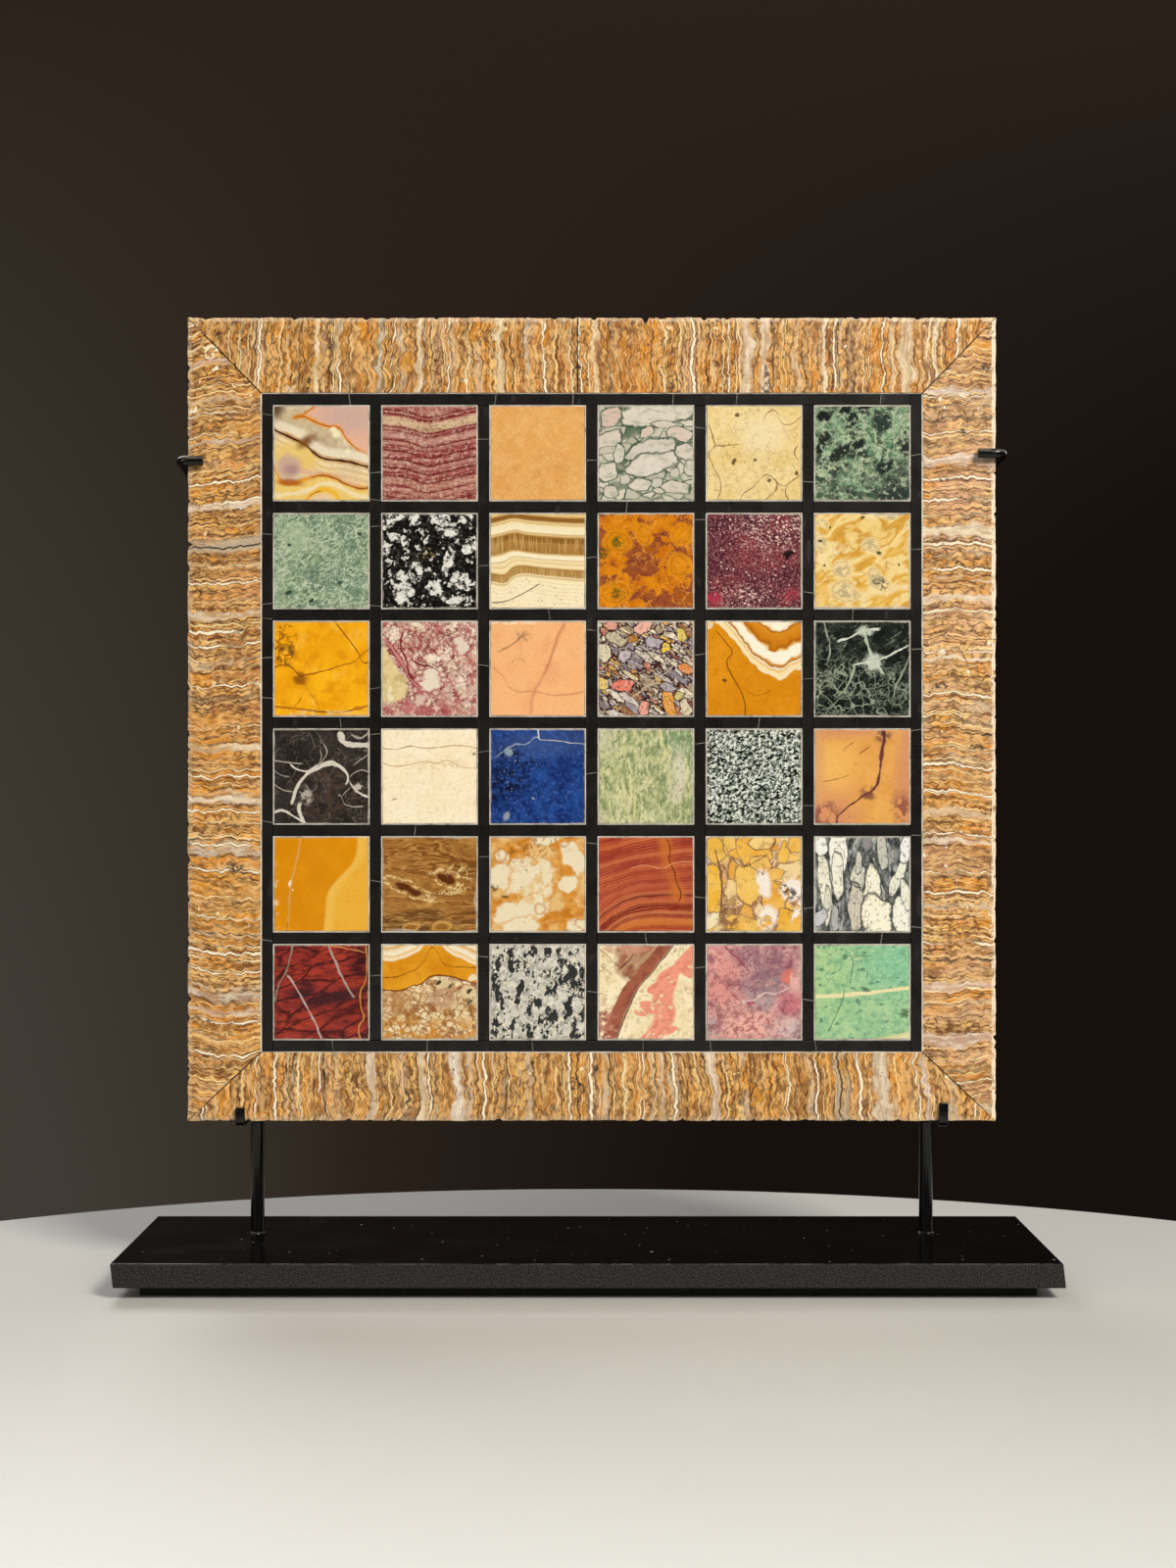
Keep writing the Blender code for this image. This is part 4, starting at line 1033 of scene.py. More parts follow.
def golden_yellow_marble(s):
    s.bend(4, 0.02, 3)
    s.colour = s.mix(s.patches(3, 0.5, 0.2), "DA8C04", "E49810")
    s.lay(s.patches(2.5, 0.55, 0.12, 4, (1.4, 0.8, 1)), "D58708", 0.6)
    edge = s.path("88 -5, 88 12, 84 26, 70 42, 58 58, 55 75, 53 105", True)
    s.lay(s.past(edge, 0.025), "EEB53E")
    s.lay(s.both(s.past(edge, 0.04, 0.02), s.patches(2.5, 0.5, 0.2)), "E8A630", 0.7)
    s.lay(s.both(s.past(edge, 0.02), s.outside(s.past(edge, 0.05, 0.09))), "F0C158", 0.7)
    s.vein("28 0, 25 20, 20 40, 17 60, 16 80, 13 100", 0.02, "DBA456", upright=True, soft=0.9, share=0.8)
    s.vein("14 90, 13 100", 0.007, "8A5A14", upright=True)
    s.spots("17 49 1.4 3.5 -20 30 30 F6E8C4 100, 20 56 0.8 1 0 12 30 F2DCA8 100")
    s.lay(s.specks(24, 0.12, 0.15), "9C6410", 0.6)
    s.lay(s.both(s.ellipse(0, 0.7, 0.05, 0.4, soft=0.6), s.patches(16, 0.58, 0.06)), "F0DCA8", 0.7)


def brown_cave_onyx(s):
    s.bend(3, 0.09, 2)
    s.bend(9, 0.03, 3)
    level = s.patches(2.4, detail=3, stretch=(0.6, 2.6, 1), rough=0.5, output="Value")
    s.colour = s.ramp(level, "30 6A3E14, 42 A06C32, 47 84521E, 52 AE783A, 57 8C5A24, 62 BA8844, 70 925E28")
    rings = s.math("SINE", s.times(level, 80))
    s.lay(s.both(s.steps(rings, 0.3, 1), s.patches(3, 0.5, 0.1)), "CE9E58", 0.6)
    s.lay(s.both(s.steps(rings, -0.3, -1), s.patches(3, 0.47, 0.1)), "5A3410", 0.6)
    for u, v, across, down, turn in rows("27 54 15 4 -40, 68 44 9 4.5 -35"):
        reach = s.ellipse(u, v, across, down, turn, 0.1, 2.2, 9, output="Distance")
        s.lay(s.both(s.steps(reach, 2.3, 1.9), s.patches(20, 0.47, 0.05)), "E4C88C", 0.95)
        s.lay(s.steps(reach, 1.75, 1.4), "9E6C30", 0.9)
        s.lay(s.steps(reach, 1.2, 0.9), "5C2E10")
    s.lay(s.ellipse(0.47, 0.51, 0.045, 0.045, 0, 0.3, 0.8, 9), "90622C", 0.9)
    tufts = s.either(s.ellipse(0.82, 0.36, 0.15, 0.08, -0.3, 0.5, 1.4),
                     s.ellipse(0.72, 0.58, 0.2, 0.03, 0.15, 0.5, 1.4))
    s.lay(s.both(tufts, s.threads(9, 0.06, broken=0.3)), "E6CC90", 0.9)
    low = s.steps(s.v, 0.7, 0.78)
    s.lay(s.both(low, s.patches(3, 0.5, 0.04, 2, (0.5, 5, 1))), "63401C", 0.8)
    s.lay(s.both(low, s.threads(4, 0.03, (0.4, 4, 1), broken=0.25)), "C09A5C", 0.85)
    for u, v, across, down in rows("30 96 11 5, 64 94 12 5.5"):
        s.lay(s.ellipse(u, v, across, down, 0.25, 0.15, 0.5), "C89A52")
        s.lay(s.ellipse(u - 0.01, v + 0.01, across * 0.7, down * 0.6, 0.25, 0.4, 0.5), "946428")


def honey_cloud_alabaster(s):
    s.bend(6, 0.05, 4)
    s.colour = s.mix(s.patches(5, 0.5, 0.15, 4), "D08628", "DE9E48")
    s.clouds("13 54 8 4 BE7218 65, 3.4 54 6 4 E9C88A 80")
    for u, v, across, down, turn in rows(
            "43 45 26 22 20, 33 80 26 15 30, 8 42 12 14 0, 88 22 10 18 60, 62 2 13 6 20, 12 20 7 6 0, "
            "82 50 9 8 50, 92 93 10 7 20, 35 95 20 10 0"):
        distance = s.ellipse(u, v, across, down, turn, 0.2, 2.2, 5, output="Distance")
        s.lay(s.steps(distance, 1.35, 1.05), "DFA95C", 0.8)
        s.lay(s.steps(distance, 1.15, 0.88), "EEE2C4", 0.95)
    s.lay(s.both(s.ellipse(0.43, 0.5, 0.3, 0.22, soft=0.4), s.patches(11, 0.56, 0.08, 4)), "DFB870", 0.75)
    for u, v, size in rows("53 76 5, 10 20 6"):
        ring = s.ellipse(u, v, size, size, wobble=1.8, scale=9, output="Distance")
        s.lay(s.steps(s.off(ring, 1), 0.5, 0), "C58434", 0.6)
    s.lay(s.both(s.ellipse(0.86, 0.87, 0.17, 0.1, -0.4, 0.4), s.threads(5, 0.05, broken=0.2)), "BE7420",
          0.8)
    s.lay(s.both(s.ellipse(0.45, 0.1, 0.4, 0.14, 0.2, 0.6), s.patches(24, 0.56, 0.06)), "8E5A18", 0.7)
    s.lay(s.specks(20, 0.15, 0.3), "A06A2A", 0.65)
    for u, v, across, down in rows("4 54 4 4, 15 63 4 1.8, 33 53 1.2 1.4, 38 35 1.2 1.2"):
        s.lay(s.both(s.ellipse(u, v, across, down, 0, 0.4, 1, 14), s.patches(22, 0.45, 0.1)), "6A5020", 0.9)


def red_stripe_marble(s):
    s.bend(5, 0.03, 3)
    s.bend(18, 0.008, 3)
    upper = s.path("-10 14, 15 8, 35 2, 60 -2, 80 -4, 110 -6")
    lower = s.path("-10 32, 0 22, 15 10, 30 0, 50 -5, 80 -4, 110 -2")
    share = s.steps(s.v, 0.35, 0.95)
    level = s.plus(s.both(lower, share), s.both(upper, s.outside(share)))
    fine = s.patches(3, detail=4, stretch=(0.6, 3, 1), output="Value")
    level = s.times_plus(s.minus(fine, 0.5), 0.06, level)
    level = s.times_plus(level, 0.8, 0.15)
    s.colour = s.ramp(level,
                      "0 B4452A, 5 A33C24, 8 C05A38, 10 8E3020, 13 B04A2C, 17 C7683E, 19 A8432A, "
                      "24 97382A, 28 A8432C, 31 C87048, 33 A94830, 38 9E4030, 42 C4643E, 45 A3422C, "
                      "50 B8573A, 54 9A3C2E, 58 BC5E40, 62 A8482E, 65 C06A44, 67.5 6E2A22, 69 B6583A, "
                      "73 C4683F, 75.5 7A2A1E, 80 8E3022, 82 C97A4C, 85 8A3222, 88 C87440, 92 C9722E, "
                      "95 A8482A, 100 BC6032")
    rings = s.math("SINE", s.times(level, 260))
    s.lay(s.both(s.steps(rings, 0.2, 1), s.patches(4, 0.5, 0.1)), "E88C58", 0.4)
    s.lay(s.both(s.steps(rings, -0.2, -1), s.patches(4, 0.5, 0.1)), "7A2418", 0.25)
    glow = s.outside(s.past(s.math("ABSOLUTE", s.path("70 -10, 74 30, 82 55, 84 75, 85 110", True)), 0.05,
                            0.07))
    s.lay(s.both(glow, s.steps(s.v, 0.75, 0.62), s.patches(3, 0.42, 0.1)), "CC7430", 0.75)
    s.vein("71 0, 75 14, 74 22, 79 34, 83 48, 87 60, 85 68", 0.009, "6E2E16", upright=True, uneven=0.4)
    s.vein("34 33, 50 30, 68 33, 80 27, 98 26", 0.007, "E0A070", share=0.8)


def yellow_breccia(s):
    s.bend(7, 0.05, 3)
    s.colour = s.mix(s.patches(2.6, 0.5, 0.1, 3), "D8A880", "EEDACB")
    s.clouds("12 55 8 4 B88464 70")
    small = s.cells(10, (1, 0.8, 1), 0.2)
    stone = s.ramp(small["Piece"], "0 E3A93C, 30 EBBE62, 55 D99A30, 75 EBD3A8, 90 E0A858", "CONSTANT")
    s.lay(s.steps(small["Edge"], 0.03, 0.06), "96684C")
    s.lay(s.both(s.steps(small["Edge"], 0.05, 0.09), s.math("GREATER_THAN", small["Tone"], 0.35)), stone)
    s.clasts(
        "48 12 20 18 10 E9AC34, 58 5 12 8 0 EFCF84, 8 14 9 12 50 E8B242, 24 5 6 9 0 E8BC58, "
        "28 37 5 12 -10 DE9A2C, 44 50 13 20 40 ECBE5A, 5 56 11 26 10 EDB63E, 25 55 6 10 10 E8CE9E, "
        "57 28 10 8 -70 E9BC64, 82 17 5 12 -10 E9B23C, 95 8 10 9 0 E8AE3A, 86 38 15 10 40 EBD3A6, "
        "71 66 12 17 -10 E6A32C, 42 80 7 8 0 DE9A34, 40 94 22 9 -30 E9B550, 88 92 15 14 20 EAAE32, "
        "5 88 9 8 20 F0E6CC, 72 40 8 6 0 E6AC48", "7E4E34", 1.12, 0.85, 0.05, 1.2, 6)
    s.lay(s.threads(8, 0.03, detail=3, broken=0.42), "9A6240", 0.65)
    s.clouds("5 48 20 3 FFDE8C 35")
    s.lay(s.both(s.ellipse(0.22, 0.84, 0.12, 0.2, soft=0.4), s.patches(14, 0.5, 0.05, 4)), "80583E", 0.85)
    for u, v, across, down, turn in rows("60 50 7 16 20, 90 56 13 11 40, 64 85 10 13 20, 96 78 4 14 -50"):
        s.lay(s.both(s.ellipse(u, v, across, down, turn, 0.3, 1.2), s.patches(9, 0.42, 0.05, 4)), "F8EEE4",
              0.97)
    s.vein("30 10, 34 20, 40 30, 54 24, 64 18", 0.009, "6E4A3A")
    s.vein("10 14, 14 36, 16 60, 14 84", 0.012, "7A5240", upright=True)
    s.lay(s.both(s.ellipse(0.87, 0.58, 0.12, 0.05, -0.6, 0.4, 1.2), s.patches(20, 0.5, 0.05)), "3E3430",
          0.9)


def grey_white_breccia(s):
    s.bend(6, 0.04, 3)
    s.colour = s.mix(s.patches(8, 0.5, 0.12, 4, (1.6, 0.8, 1)), "33383A", "7C807E")
    s.lay(s.patches(12, 0.56, 0.08, 4, (1.5, 0.6, 1)), "94979A", 0.7)
    s.lay(s.threads(5, 0.07, (1.7, 0.45, 1), 0.1, 4, 0.35), "BFC2BE", 0.85)
    s.lay(s.threads(8, 0.05, (1.7, 0.5, 1), -0.1, 4, 0.35), "24282A", 0.9)
    s.clasts(
        "25 12 9 30 0 F6F4E8, 24 42 5.5 26 5 F2F0E0, 10 48 6 34 12 F0EEDA, 13 74 3.5 20 0 DCDCCA, "
        "5 8 7 12 40 F4F4F0, 45 42 7 15 0 DAD8CA, 46 28 3.5 12 0 D2D0C4, 43 76 8 24 5 CFC9B8, "
        "61 60 8 28 0 F6F2DC, 65 86 15 24 10 F8F4DE, 71 15 5 20 10 C9C8BC, 87 44 4.5 20 -35 EAEADA, "
        "93 85 10 22 10 F4F4E6, 96 62 5 16 20 ECECDC, 97 10 6 16 -20 F2F2F0, 4 86 6 10 -60 C8CACE, "
        "21 86 3.5 13 0 B4B6B4, 55 6 5 8 30 8E9090", "2C3032", 1.08, 0.5, 0.09, 0.9, 5)
    s.vein("40 50, 44 53, 50 53", 0.009, "5A5E5C")
    s.lay(s.threads(6, 0.02, (1.6, 0.6, 1), broken=0.44), "4E5250", 0.7)
    s.clouds("22 62 6 3 3A3E3C 50")


def red_jasper(s):
    s.bend(5, 0.05, 4)
    s.colour = s.mix(s.patches(3, 0.5, 0.12, 4, (0.6, 1.6, 1)), "90302A", "AC3E2C")
    s.lay(s.patches(7, 0.54, 0.08, 4, (0.6, 2, 1)), "782822", 0.6)
    net = s.cells(4, (0.55, 1.6, 1), 0.35, 0.9)
    s.lay(s.both(s.steps(net["Edge"], 0.1, 0), s.patches(5, 0.42, 0.12, 4, (0.6, 2, 1))), "321014", 0.9)
    s.lay(s.threads(3, 0.03, (0.5, 2.4, 1), 0.25, 4, 0.36), "3A1216", 0.85)
    s.lay(s.threads(6, 0.03, (0.5, 2.4, 1), -0.15, 4, 0.4), "441618", 0.8)
    dark = s.either(s.ellipse(0.62, 0.55, 0.4, 0.08, 0.2, 0.6, 1),
                    s.ellipse(0.3, 0.5, 0.14, 0.1, 0.5, 0.6, 1))
    s.lay(s.both(dark, s.patches(5, 0.42, 0.1, 4, (0.5, 3, 1))), "341A20", 0.9)
    s.lay(s.both(s.ellipse(0.95, 0.1, 0.1, 0.3, 0, 0.6), s.patches(6, 0.45, 0.1, 4, (1, 2, 1))), "2C1418",
          0.8)
    for points, width, paint, upright in (("20 -2, 17 12, 13 28, 6 42, 2 60", 0.013, "8E8070", True), (
            "56 -2, 62 12, 68 26, 74 38, 84 56", 0.018, "B09A92", True), (
            "15 32, 24 46, 33 62, 42 80, 51 100", 0.013, "C0AAA6", True), (
            "97 0, 98 20, 96 38, 92 50, 92 68, 95 76, 89 86, 91 100", 0.011, "D08A44", True), (
            "58 1, 70 3, 84 5, 97 8", 0.009, "D08E50", False),
                                          ("14 24, 6 24, 0 26", 0.01, "6A4A38", False)):
        s.vein(points, width, paint, upright, uneven=0.6)


def amber_travertine(s):
    s.bend(9, 0.05, 4)
    s.colour = s.mix(s.patches(9, 0.5, 0.08, 4), "A97840", "D9B684")
    s.clouds("11 52 4 3 EBD8AC 95, 15 55 4 3 E2C48E 90")
    nodules = s.cells(12, (1, 1.2, 1), 0.2)
    s.lay(s.both(s.steps(nodules["Tone"], 0.4, 0.7), s.steps(nodules["Edge"], 0.08, 0.16)), "F2E2BC", 0.85)
    s.lay(s.both(s.steps(nodules["Edge"], 0.1, 0.03), s.patches(5, 0.42, 0.1)), "9A5E28", 0.75)
    s.clouds("13 57 4 3 8E5626 85")
    s.lay(s.both(s.ellipse(0.1, 0.62, 0.22, 0.14, 0, 0.5, 0.8), s.patches(8, 0.4, 0.12, 4)), "B4824C", 0.85)
    s.lay(s.both(s.ellipse(0.64, 0.56, 0.16, 0.12, 0, 0.4, 0.8), s.patches(12, 0.44, 0.1, 4)), "BE9474",
          0.85)
    s.lay(s.both(s.steps(s.v, 0.72, 0.9), s.patches(9, 0.53, 0.05, 3)), "CC8A26", 0.8)
    s.lay(s.both(s.ellipse(0.78, 0.44, 0.3, 0.1, 0.2, 0.4), s.threads(7, 0.05, broken=0.3)), "8E6A48", 0.8)
    for u, v, across, down, turn in rows("65 41 8 5 20, 90 50 8 7 40"):
        s.lay(s.ellipse(u, v, across, down, turn, 0.2, 0.8, 9), "E0CCA0", 0.9)
    for u, v, code in rows("60 40 2E2A20, 72 43 4A4438, 92 49 2E2A20, 81 46 9A4E3A, 93 60 4A5440"):
        s.lay(s.ellipse(u, v, 0.035, 0.018, 0.6, 0.3, 1.4, 16), code, 0.95)
    floor_points = "-10 45, 8 48, 18 48, 32 43, 42 41, 50 34, 60 32, 75 34, 90 38, 110 42"
    floor_line = s.path(floor_points)
    s.lay(s.outside(s.past(floor_line, 0.008)), s.mix(s.patches(4, 0.5, 0.2, 4), "D4880C", "E6A224"))
    s.vein("-5 34, 10 35, 25 30, 40 22, 48 10, 53 3, 58 8, 64 19, 74 23, 88 23, 105 28", 0.007, "8A5210",
           uneven=0.3)
    roof = s.path("-10 13, 8 18, 22 15, 34 10, 44 2, 53 -10, 62 0, 72 10, 85 16, 110 28")
    over = s.times(roof, -1)
    s.lay(s.steps(over, -0.006, 0.01), s.ramp(over,
        "0 E8B860, 2 F6EAD0, 6 ECC480, 8 F6EEDA, 12 EEDDB8, 15 D9A450, 17 F4E6C8, 30 EBD9B4"))
    s.vein(floor_points, 0.011, "7A3E10")
    s.lay(s.ellipse(0.96, 0.35, 0.05, 0.03, 0.3, 0.2, 0.8, 10), "F0E2C4", 0.95)


def white_dark_granite(s):
    s.bend(12, 0.04, 3)
    s.colour = s.mix(s.patches(14, 0.5, 0.12, 3), "C6C3B8", "E2DFD4")
    s.clouds("22 56 6 3 9C9C94 75, 18 60 5 3 EADFC0 70")
    dark = s.patches(10, detail=4, stretch=(1.5, 0.85, 1), turn=-0.25, rough=0.62, output="Value")
    crowd = s.both(s.patches(2.4, 0.5, 0.15, 2, (1.6, 0.6, 1), -0.2), 0.3)
    for u, v, across, down, turn in rows(
            "10 17 4 10 -20, 21 14 4 15 10, 38 22 3 16 10, 44 6 5 6 0, 85 32 7 13 10, 97 30 4 8 0, "
            "10 58 4 12 20, 2 40 3 10 0, 30 52 3.5 16 -30, 66 76 6 10 20, 5 82 5 6 50, 30 80 6 6 40, "
            "82 70 4 14 -20, 60 95 6 5 0, 73 14 3 12 20, 90 94 6 6 30, 60 6 4 4 0, 50 62 4 6 40"):
        crowd = s.either(crowd, s.ellipse(u, v, across, down, turn, 0.3, 1.4, 9))
    s.lay(s.steps(s.times_plus(crowd, 0.15, dark), 0.56, 0.6), "1C2022", 0.97)
    s.lay(s.patches(15, 0.61, 0.025, 3, (1.5, 0.85, 1), -0.35, 0.62), "24282A", 0.97)


def coral_cream_breccia(s):
    s.bend(6, 0.05, 4)
    s.colour = s.mix(s.patches(5, 0.5, 0.15, 4), "F2E0B6", "FCEECC")
    s.clouds("20 60 6 3 C4AE7C 60")
    coral = s.steps(s.math("ABSOLUTE", s.path("100 10, 90 20, 76 30, 71 42, 68 60, 70 74, 66 86, 54 100",
                                              True)), 0.13, 0.09)
    for u, v, across, down, turn in rows(
            "58 47 7 5 20, 53 66 12 6 -40, 44 72 7 3 -20, 95 30 8 5 -40, 75 90 8 4 30"):
        coral = s.either(coral, s.ellipse(u, v, across, down, turn, 0.1, 1, 7))
    coral = s.both(coral, s.steps(s.patches(6, detail=4, output="Value"), 0.34, 0.37))
    s.lay(coral, "F09C84")
    s.lay(s.both(coral, s.patches(14, 0.55, 0.08)), "DE826A", 0.7)
    s.lay(s.both(s.ellipse(0.72, 0.66, 0.36, 0.45, soft=0.4), s.patches(16, 0.62, 0.03)), "EAD8B0", 0.9)
    band = s.path("74 -5, 66 6, 55 20, 45 32, 35 44, 27 58, 20 75, 14 90, 10 105", True)
    off = s.math("ABSOLUTE", band)
    head = s.both(s.steps(s.v, 0.42, 0.34), s.steps(s.plus(band, 0.16), 0.2, 0.16))
    s.lay(s.both(head, s.ellipse(0.44, 0.12, 0.26, 0.26, -0.4, 0.2, 0.8)), "B48C6A", 0.95)
    s.lay(s.both(head, s.ellipse(0.44, 0.12, 0.22, 0.26, -0.4, 0.3),
                 s.patches(4, 0.5, 0.05, 4, (2, 0.8, 1), -0.7)), "A0604A", 0.9)
    s.lay(s.both(head, s.ellipse(0.5, 0.08, 0.16, 0.2, -0.4, 0.3),
                 s.patches(5, 0.56, 0.05, 4, (2, 0.8, 1), -0.7)), "CDBE9E", 0.9)
    s.lay(s.both(s.ellipse(0.36, 0.3, 0.1, 0.09, 0.3, 0.4), s.patches(12, 0.48, 0.06)), "8A5040", 0.8)
    s.lay(s.steps(off, 0.085, 0.065), "A25E46")
    s.lay(s.both(s.steps(off, 0.09, 0.06), s.patches(9, 0.56, 0.06)), "84443A", 0.7)
    s.lay(s.both(s.steps(off, 0.08, 0.05), s.steps(s.v, 0.7, 0.8), s.patches(16, 0.6, 0.04)), "E4C4B0", 0.9)
    s.lay(s.steps(s.off(band, 0.085), 0.014, 0.004), "5E382C", 0.9)
    for points, width, paint in (("0 4, 10 12, 20 22, 26 24", 0.009, "8E6248"),
                                 ("22 26, 30 18, 38 8, 42 0", 0.014, "7A4234")):
        s.vein(points, width, paint)
    s.lay(s.both(s.ellipse(0.06, 0.8, 0.14, 0.16, 0.2, 0.4, 0.9), s.patches(9, 0.47, 0.05)), "B46A58", 0.85)
    s.lay(s.both(s.ellipse(0.06, 0.84, 0.12, 0.12, 0.2, 0.4, 0.9), s.patches(14, 0.56, 0.05)), "7E3A34",
          0.8)
    s.lay(s.both(s.ellipse(0.3, 0.04, 0.24, 0.05, 0, 0.4), s.patches(6, 0.48, 0.06)), "CF9680", 0.85)
    s.lay(s.both(s.steps(off, 0.1, 0.14), s.threads(9, 0.03, (1.5, 1, 1), 0.6, 2, 0.52)), "7E6E48", 0.7)


def rose_violet_breccia(s):
    s.bend(6, 0.06, 4)
    s.colour = s.mix(s.patches(4, 0.5, 0.1, 5), "B47A80", "DCA8A4")
    for u, v, across, down, turn, code in rows(
            "12 40 24 36 20 E09890, 62 8 30 14 10 A07080, 62 42 26 16 30 9A848C, 62 60 13 11 -60 A89CA0, "
            "42 88 30 18 0 EEB8AA, 88 90 24 14 0 D2BEC0, 4 90 9 13 0 B4A0A6, 88 62 14 12 50 CC7A82"):
        s.lay(s.ellipse(u, v, across, down, turn, 0.5, 1.4, 5), code, 0.85)
    s.clouds("7 57 6 5 7A4656 60, 9 57 6 5 E6B4A8 65")
    s.lay(s.both(s.ellipse(0.7, 0.2, 0.36, 0.3, 0.3, 0.6), s.patches(5, 0.46, 0.08, 4)), "8A6472", 0.6)
    s.clouds("22 60 5 4 96404E 50")
    s.lay(s.both(s.ellipse(0.45, 0.86, 0.32, 0.2, 0, 0.5), s.patches(18, 0.54, 0.05)), "B05A60", 0.75)
    s.lay(s.both(s.ellipse(0.85, 0.33, 0.07, 0.07, 0.5, 0.2, 1.6, 9), s.patches(9, 0.4, 0.1)), "DE7A6E",
          0.95)
    s.lay(s.both(s.ellipse(0.93, 0.38, 0.08, 0.1, 0.5, 0.4, 1), s.patches(12, 0.5, 0.06)), "EAB8B0", 0.85)
    s.lay(s.ellipse(0.47, 0.61, 0.04, 0.025, 0, 0.3, 1.2, 12), "B04858", 0.9)
    s.vein("18 0, 30 12, 42 24", 0.02, "9A4456", soft=0.9)
    s.vein("24 44, 28 52, 36 60", 0.014, "B05058", soft=0.8)
    s.vein("38 60, 50 58, 62 51, 74 52, 86 46", 0.011, "DCC6C4", soft=0.8)
    s.lay(s.threads(8, 0.03, broken=0.45), "7E3E4E", 0.65)
    s.lay(s.threads(12, 0.03, broken=0.48), "E8C4BC", 0.6)


def mint_green_marble(s):
    s.bend(6, 0.03, 4)
    s.colour = s.mix(s.patches(3, 0.5, 0.2, 4), "94C494", "B0D2A0")
    s.spots("95 20 40 35 0 80 30 82C6A4 75, 6 30 25 40 0 80 30 AED092 80")
    s.clouds("12 55 8 4 72AE86 70, 26 60 8 3 BEDCAE 60")
    s.lay(s.patches(15, 0.64, 0.03, 2, (0.8, 1.4, 1), 0.3), "4A7E66", 0.8)
    s.lay(s.specks(17, 0.13, 0.4), "3E6E58", 0.8)
    stripe = "-5 54.5, 20 54, 45 52, 70 49, 90 46.5, 105 44"
    s.vein(stripe, 0.032, "C9D49A", soft=0.7, uneven=0.3)
    s.vein(stripe, 0.024, "EAE3B2", soft=0.4, uneven=0.3)
    corner = s.path("50 104, 64 99, 80 96, 93 93, 110 88")
    s.lay(s.past(corner, 0.012), "D9D59C")
    s.lay(s.past(corner, 0.012, 0.03), "E8DFB6")
    for points, width in (("37 10, 40 20, 38 32, 37 42", 0.007),
                          ("30 40, 30 56, 24 70, 18 84, 14 92", 0.008)):
        s.vein(points, width, "4E7E60", upright=True)
    s.vein("30 12, 45 11, 60 12", 0.007, "6A8A5E")
    s.lay(s.both(s.ellipse(0.95, 0.72, 0.08, 0.04, -0.3, 0.4, 1.4, 12), s.patches(14, 0.42, 0.08)),
          "56664A", 0.9)
    s.lay(s.both(s.ellipse(0.52, 0.47, 0.06, 0.02, -0.3, 0.4, 1.4, 12), s.patches(14, 0.42, 0.08)),
          "4E6E54", 0.85)
    s.lay(s.both(s.ellipse(0.4, 0.16, 0.05, 0.05, 0, 0.6), s.patches(20, 0.5, 0.08)), "C6DCB4", 0.7)


PAINTERS = (
    cloud_onyx, rose_banded_alabaster, buff_limestone, white_green_breccia, crackled_cream_marble,
    antique_green_marble, pale_green_serpentine, black_white_porphyry, brown_ribbon_onyx, orange_jasper,
    red_porphyry, shell_yellow_marble, siena_yellow_marble, rose_veined_breccia, flesh_pink_marble,
    fragment_breccia, honey_onyx, green_black_serpentine, black_shell_limestone, ivory_limestone,
    lapis_lazuli, sage_green_marble, speckled_diorite, orange_vein_marble, golden_yellow_marble,
    brown_cave_onyx, honey_cloud_alabaster, red_stripe_marble, yellow_breccia, grey_white_breccia,
    red_jasper, amber_travertine, white_dark_granite, coral_cream_breccia, rose_violet_breccia,
    mint_green_marble,
)
PAINTER_OF = {painter.__name__: painter for painter in PAINTERS}


# ------------------------------------------------------------------ other materials


class Finish(Stone):
    """A material of anything that isn't a square stone, its pattern's unit a square stone's width."""

    def __init__(self, name, origin=(0, 0, 0), seed=0.0, turn=(0, 0, 0)):
        super().__init__(name, origin, turn, seed)

    def place(self, origin, turn):
        """Lays the coordinates from this origin, turned."""
        unit = SQUARE * MM
        moved = {"Scale": (1 / unit,) * 3, "Location": Vector(origin) / -unit}
        where = self.mapped(self.node("TexCoord").outputs["Object"], **moved)
        self.set_at(self.mapped(where, Rotation=turn))

    def sway(self, scale, amount):
        """Lets the beds waver along their length, with little squeeze between one bed and the next."""
        value = self.patches(scale, detail=3.0, stretch=(0.12, 1, 1), output="Value")
        moved = self.node("CombineXYZ", {0: self.times_plus(value, amount, -0.5 * amount)}).outputs[0]
        self.set_at(self.vector("ADD", self.at, moved))

    def beds(self, count, width, paint, kept=0.6, drift=0.0, share=1.0, broken=None):
        """Lays beds of one colour that cross u, drifting by a slow wave, broken up where asked."""
        across = self.times_plus(self.wave(2.6), drift, self.u)
        mask = self.use("Beds", Across=across, Count=count, Width=width * count, Kept=kept,
                        Wave=self.wave(9.0), Seed=self.next_seed())[0]
        if broken:
            mask = self.both(mask, self.patches(4.0, broken, 0.06, 3.0, stretch=(1, 0.5, 0.5)))
        return self.lay(mask, paint, share)

    def worn(self, roughness, uneven, pits, pit_scale, seed):
        """Old polish over the whole of it: its roughness, its height and its pits."""
        return self.use("Polish", Vector=self.at, Roughness=roughness, Uneven=uneven, Pits=pits,
                        Pit_Scale=pit_scale, Seed=seed)


def along_axis(s, kind, axis):
    """The part along an axis of where a surface is ("Object") or which way it faces ("Normal")."""
    return s.node("SeparateXYZ", {0: s.node("TexCoord").outputs[kind]}).outputs[axis]


def pale_lit_edge(s, across, sign, share):
    """Pales a border stone where its outer edge is rounded: partly paler worn stone, partly a painted
    highlight, laid strongest on the right side where the light falls.
    """
    edge = TABLET_HIGH[across] if sign > 0 else TABLET_LOW[across]
    inward = s.times_plus(along_axis(s, "Object", across), sign, -sign * edge)
    slope = s.times(along_axis(s, "Normal", across), sign)
    s.lay(s.both(s.steps(inward, -3.0 * MM, -2.0 * MM), s.steps(slope, 0.06, 0.18)), "F6E8D0", share)


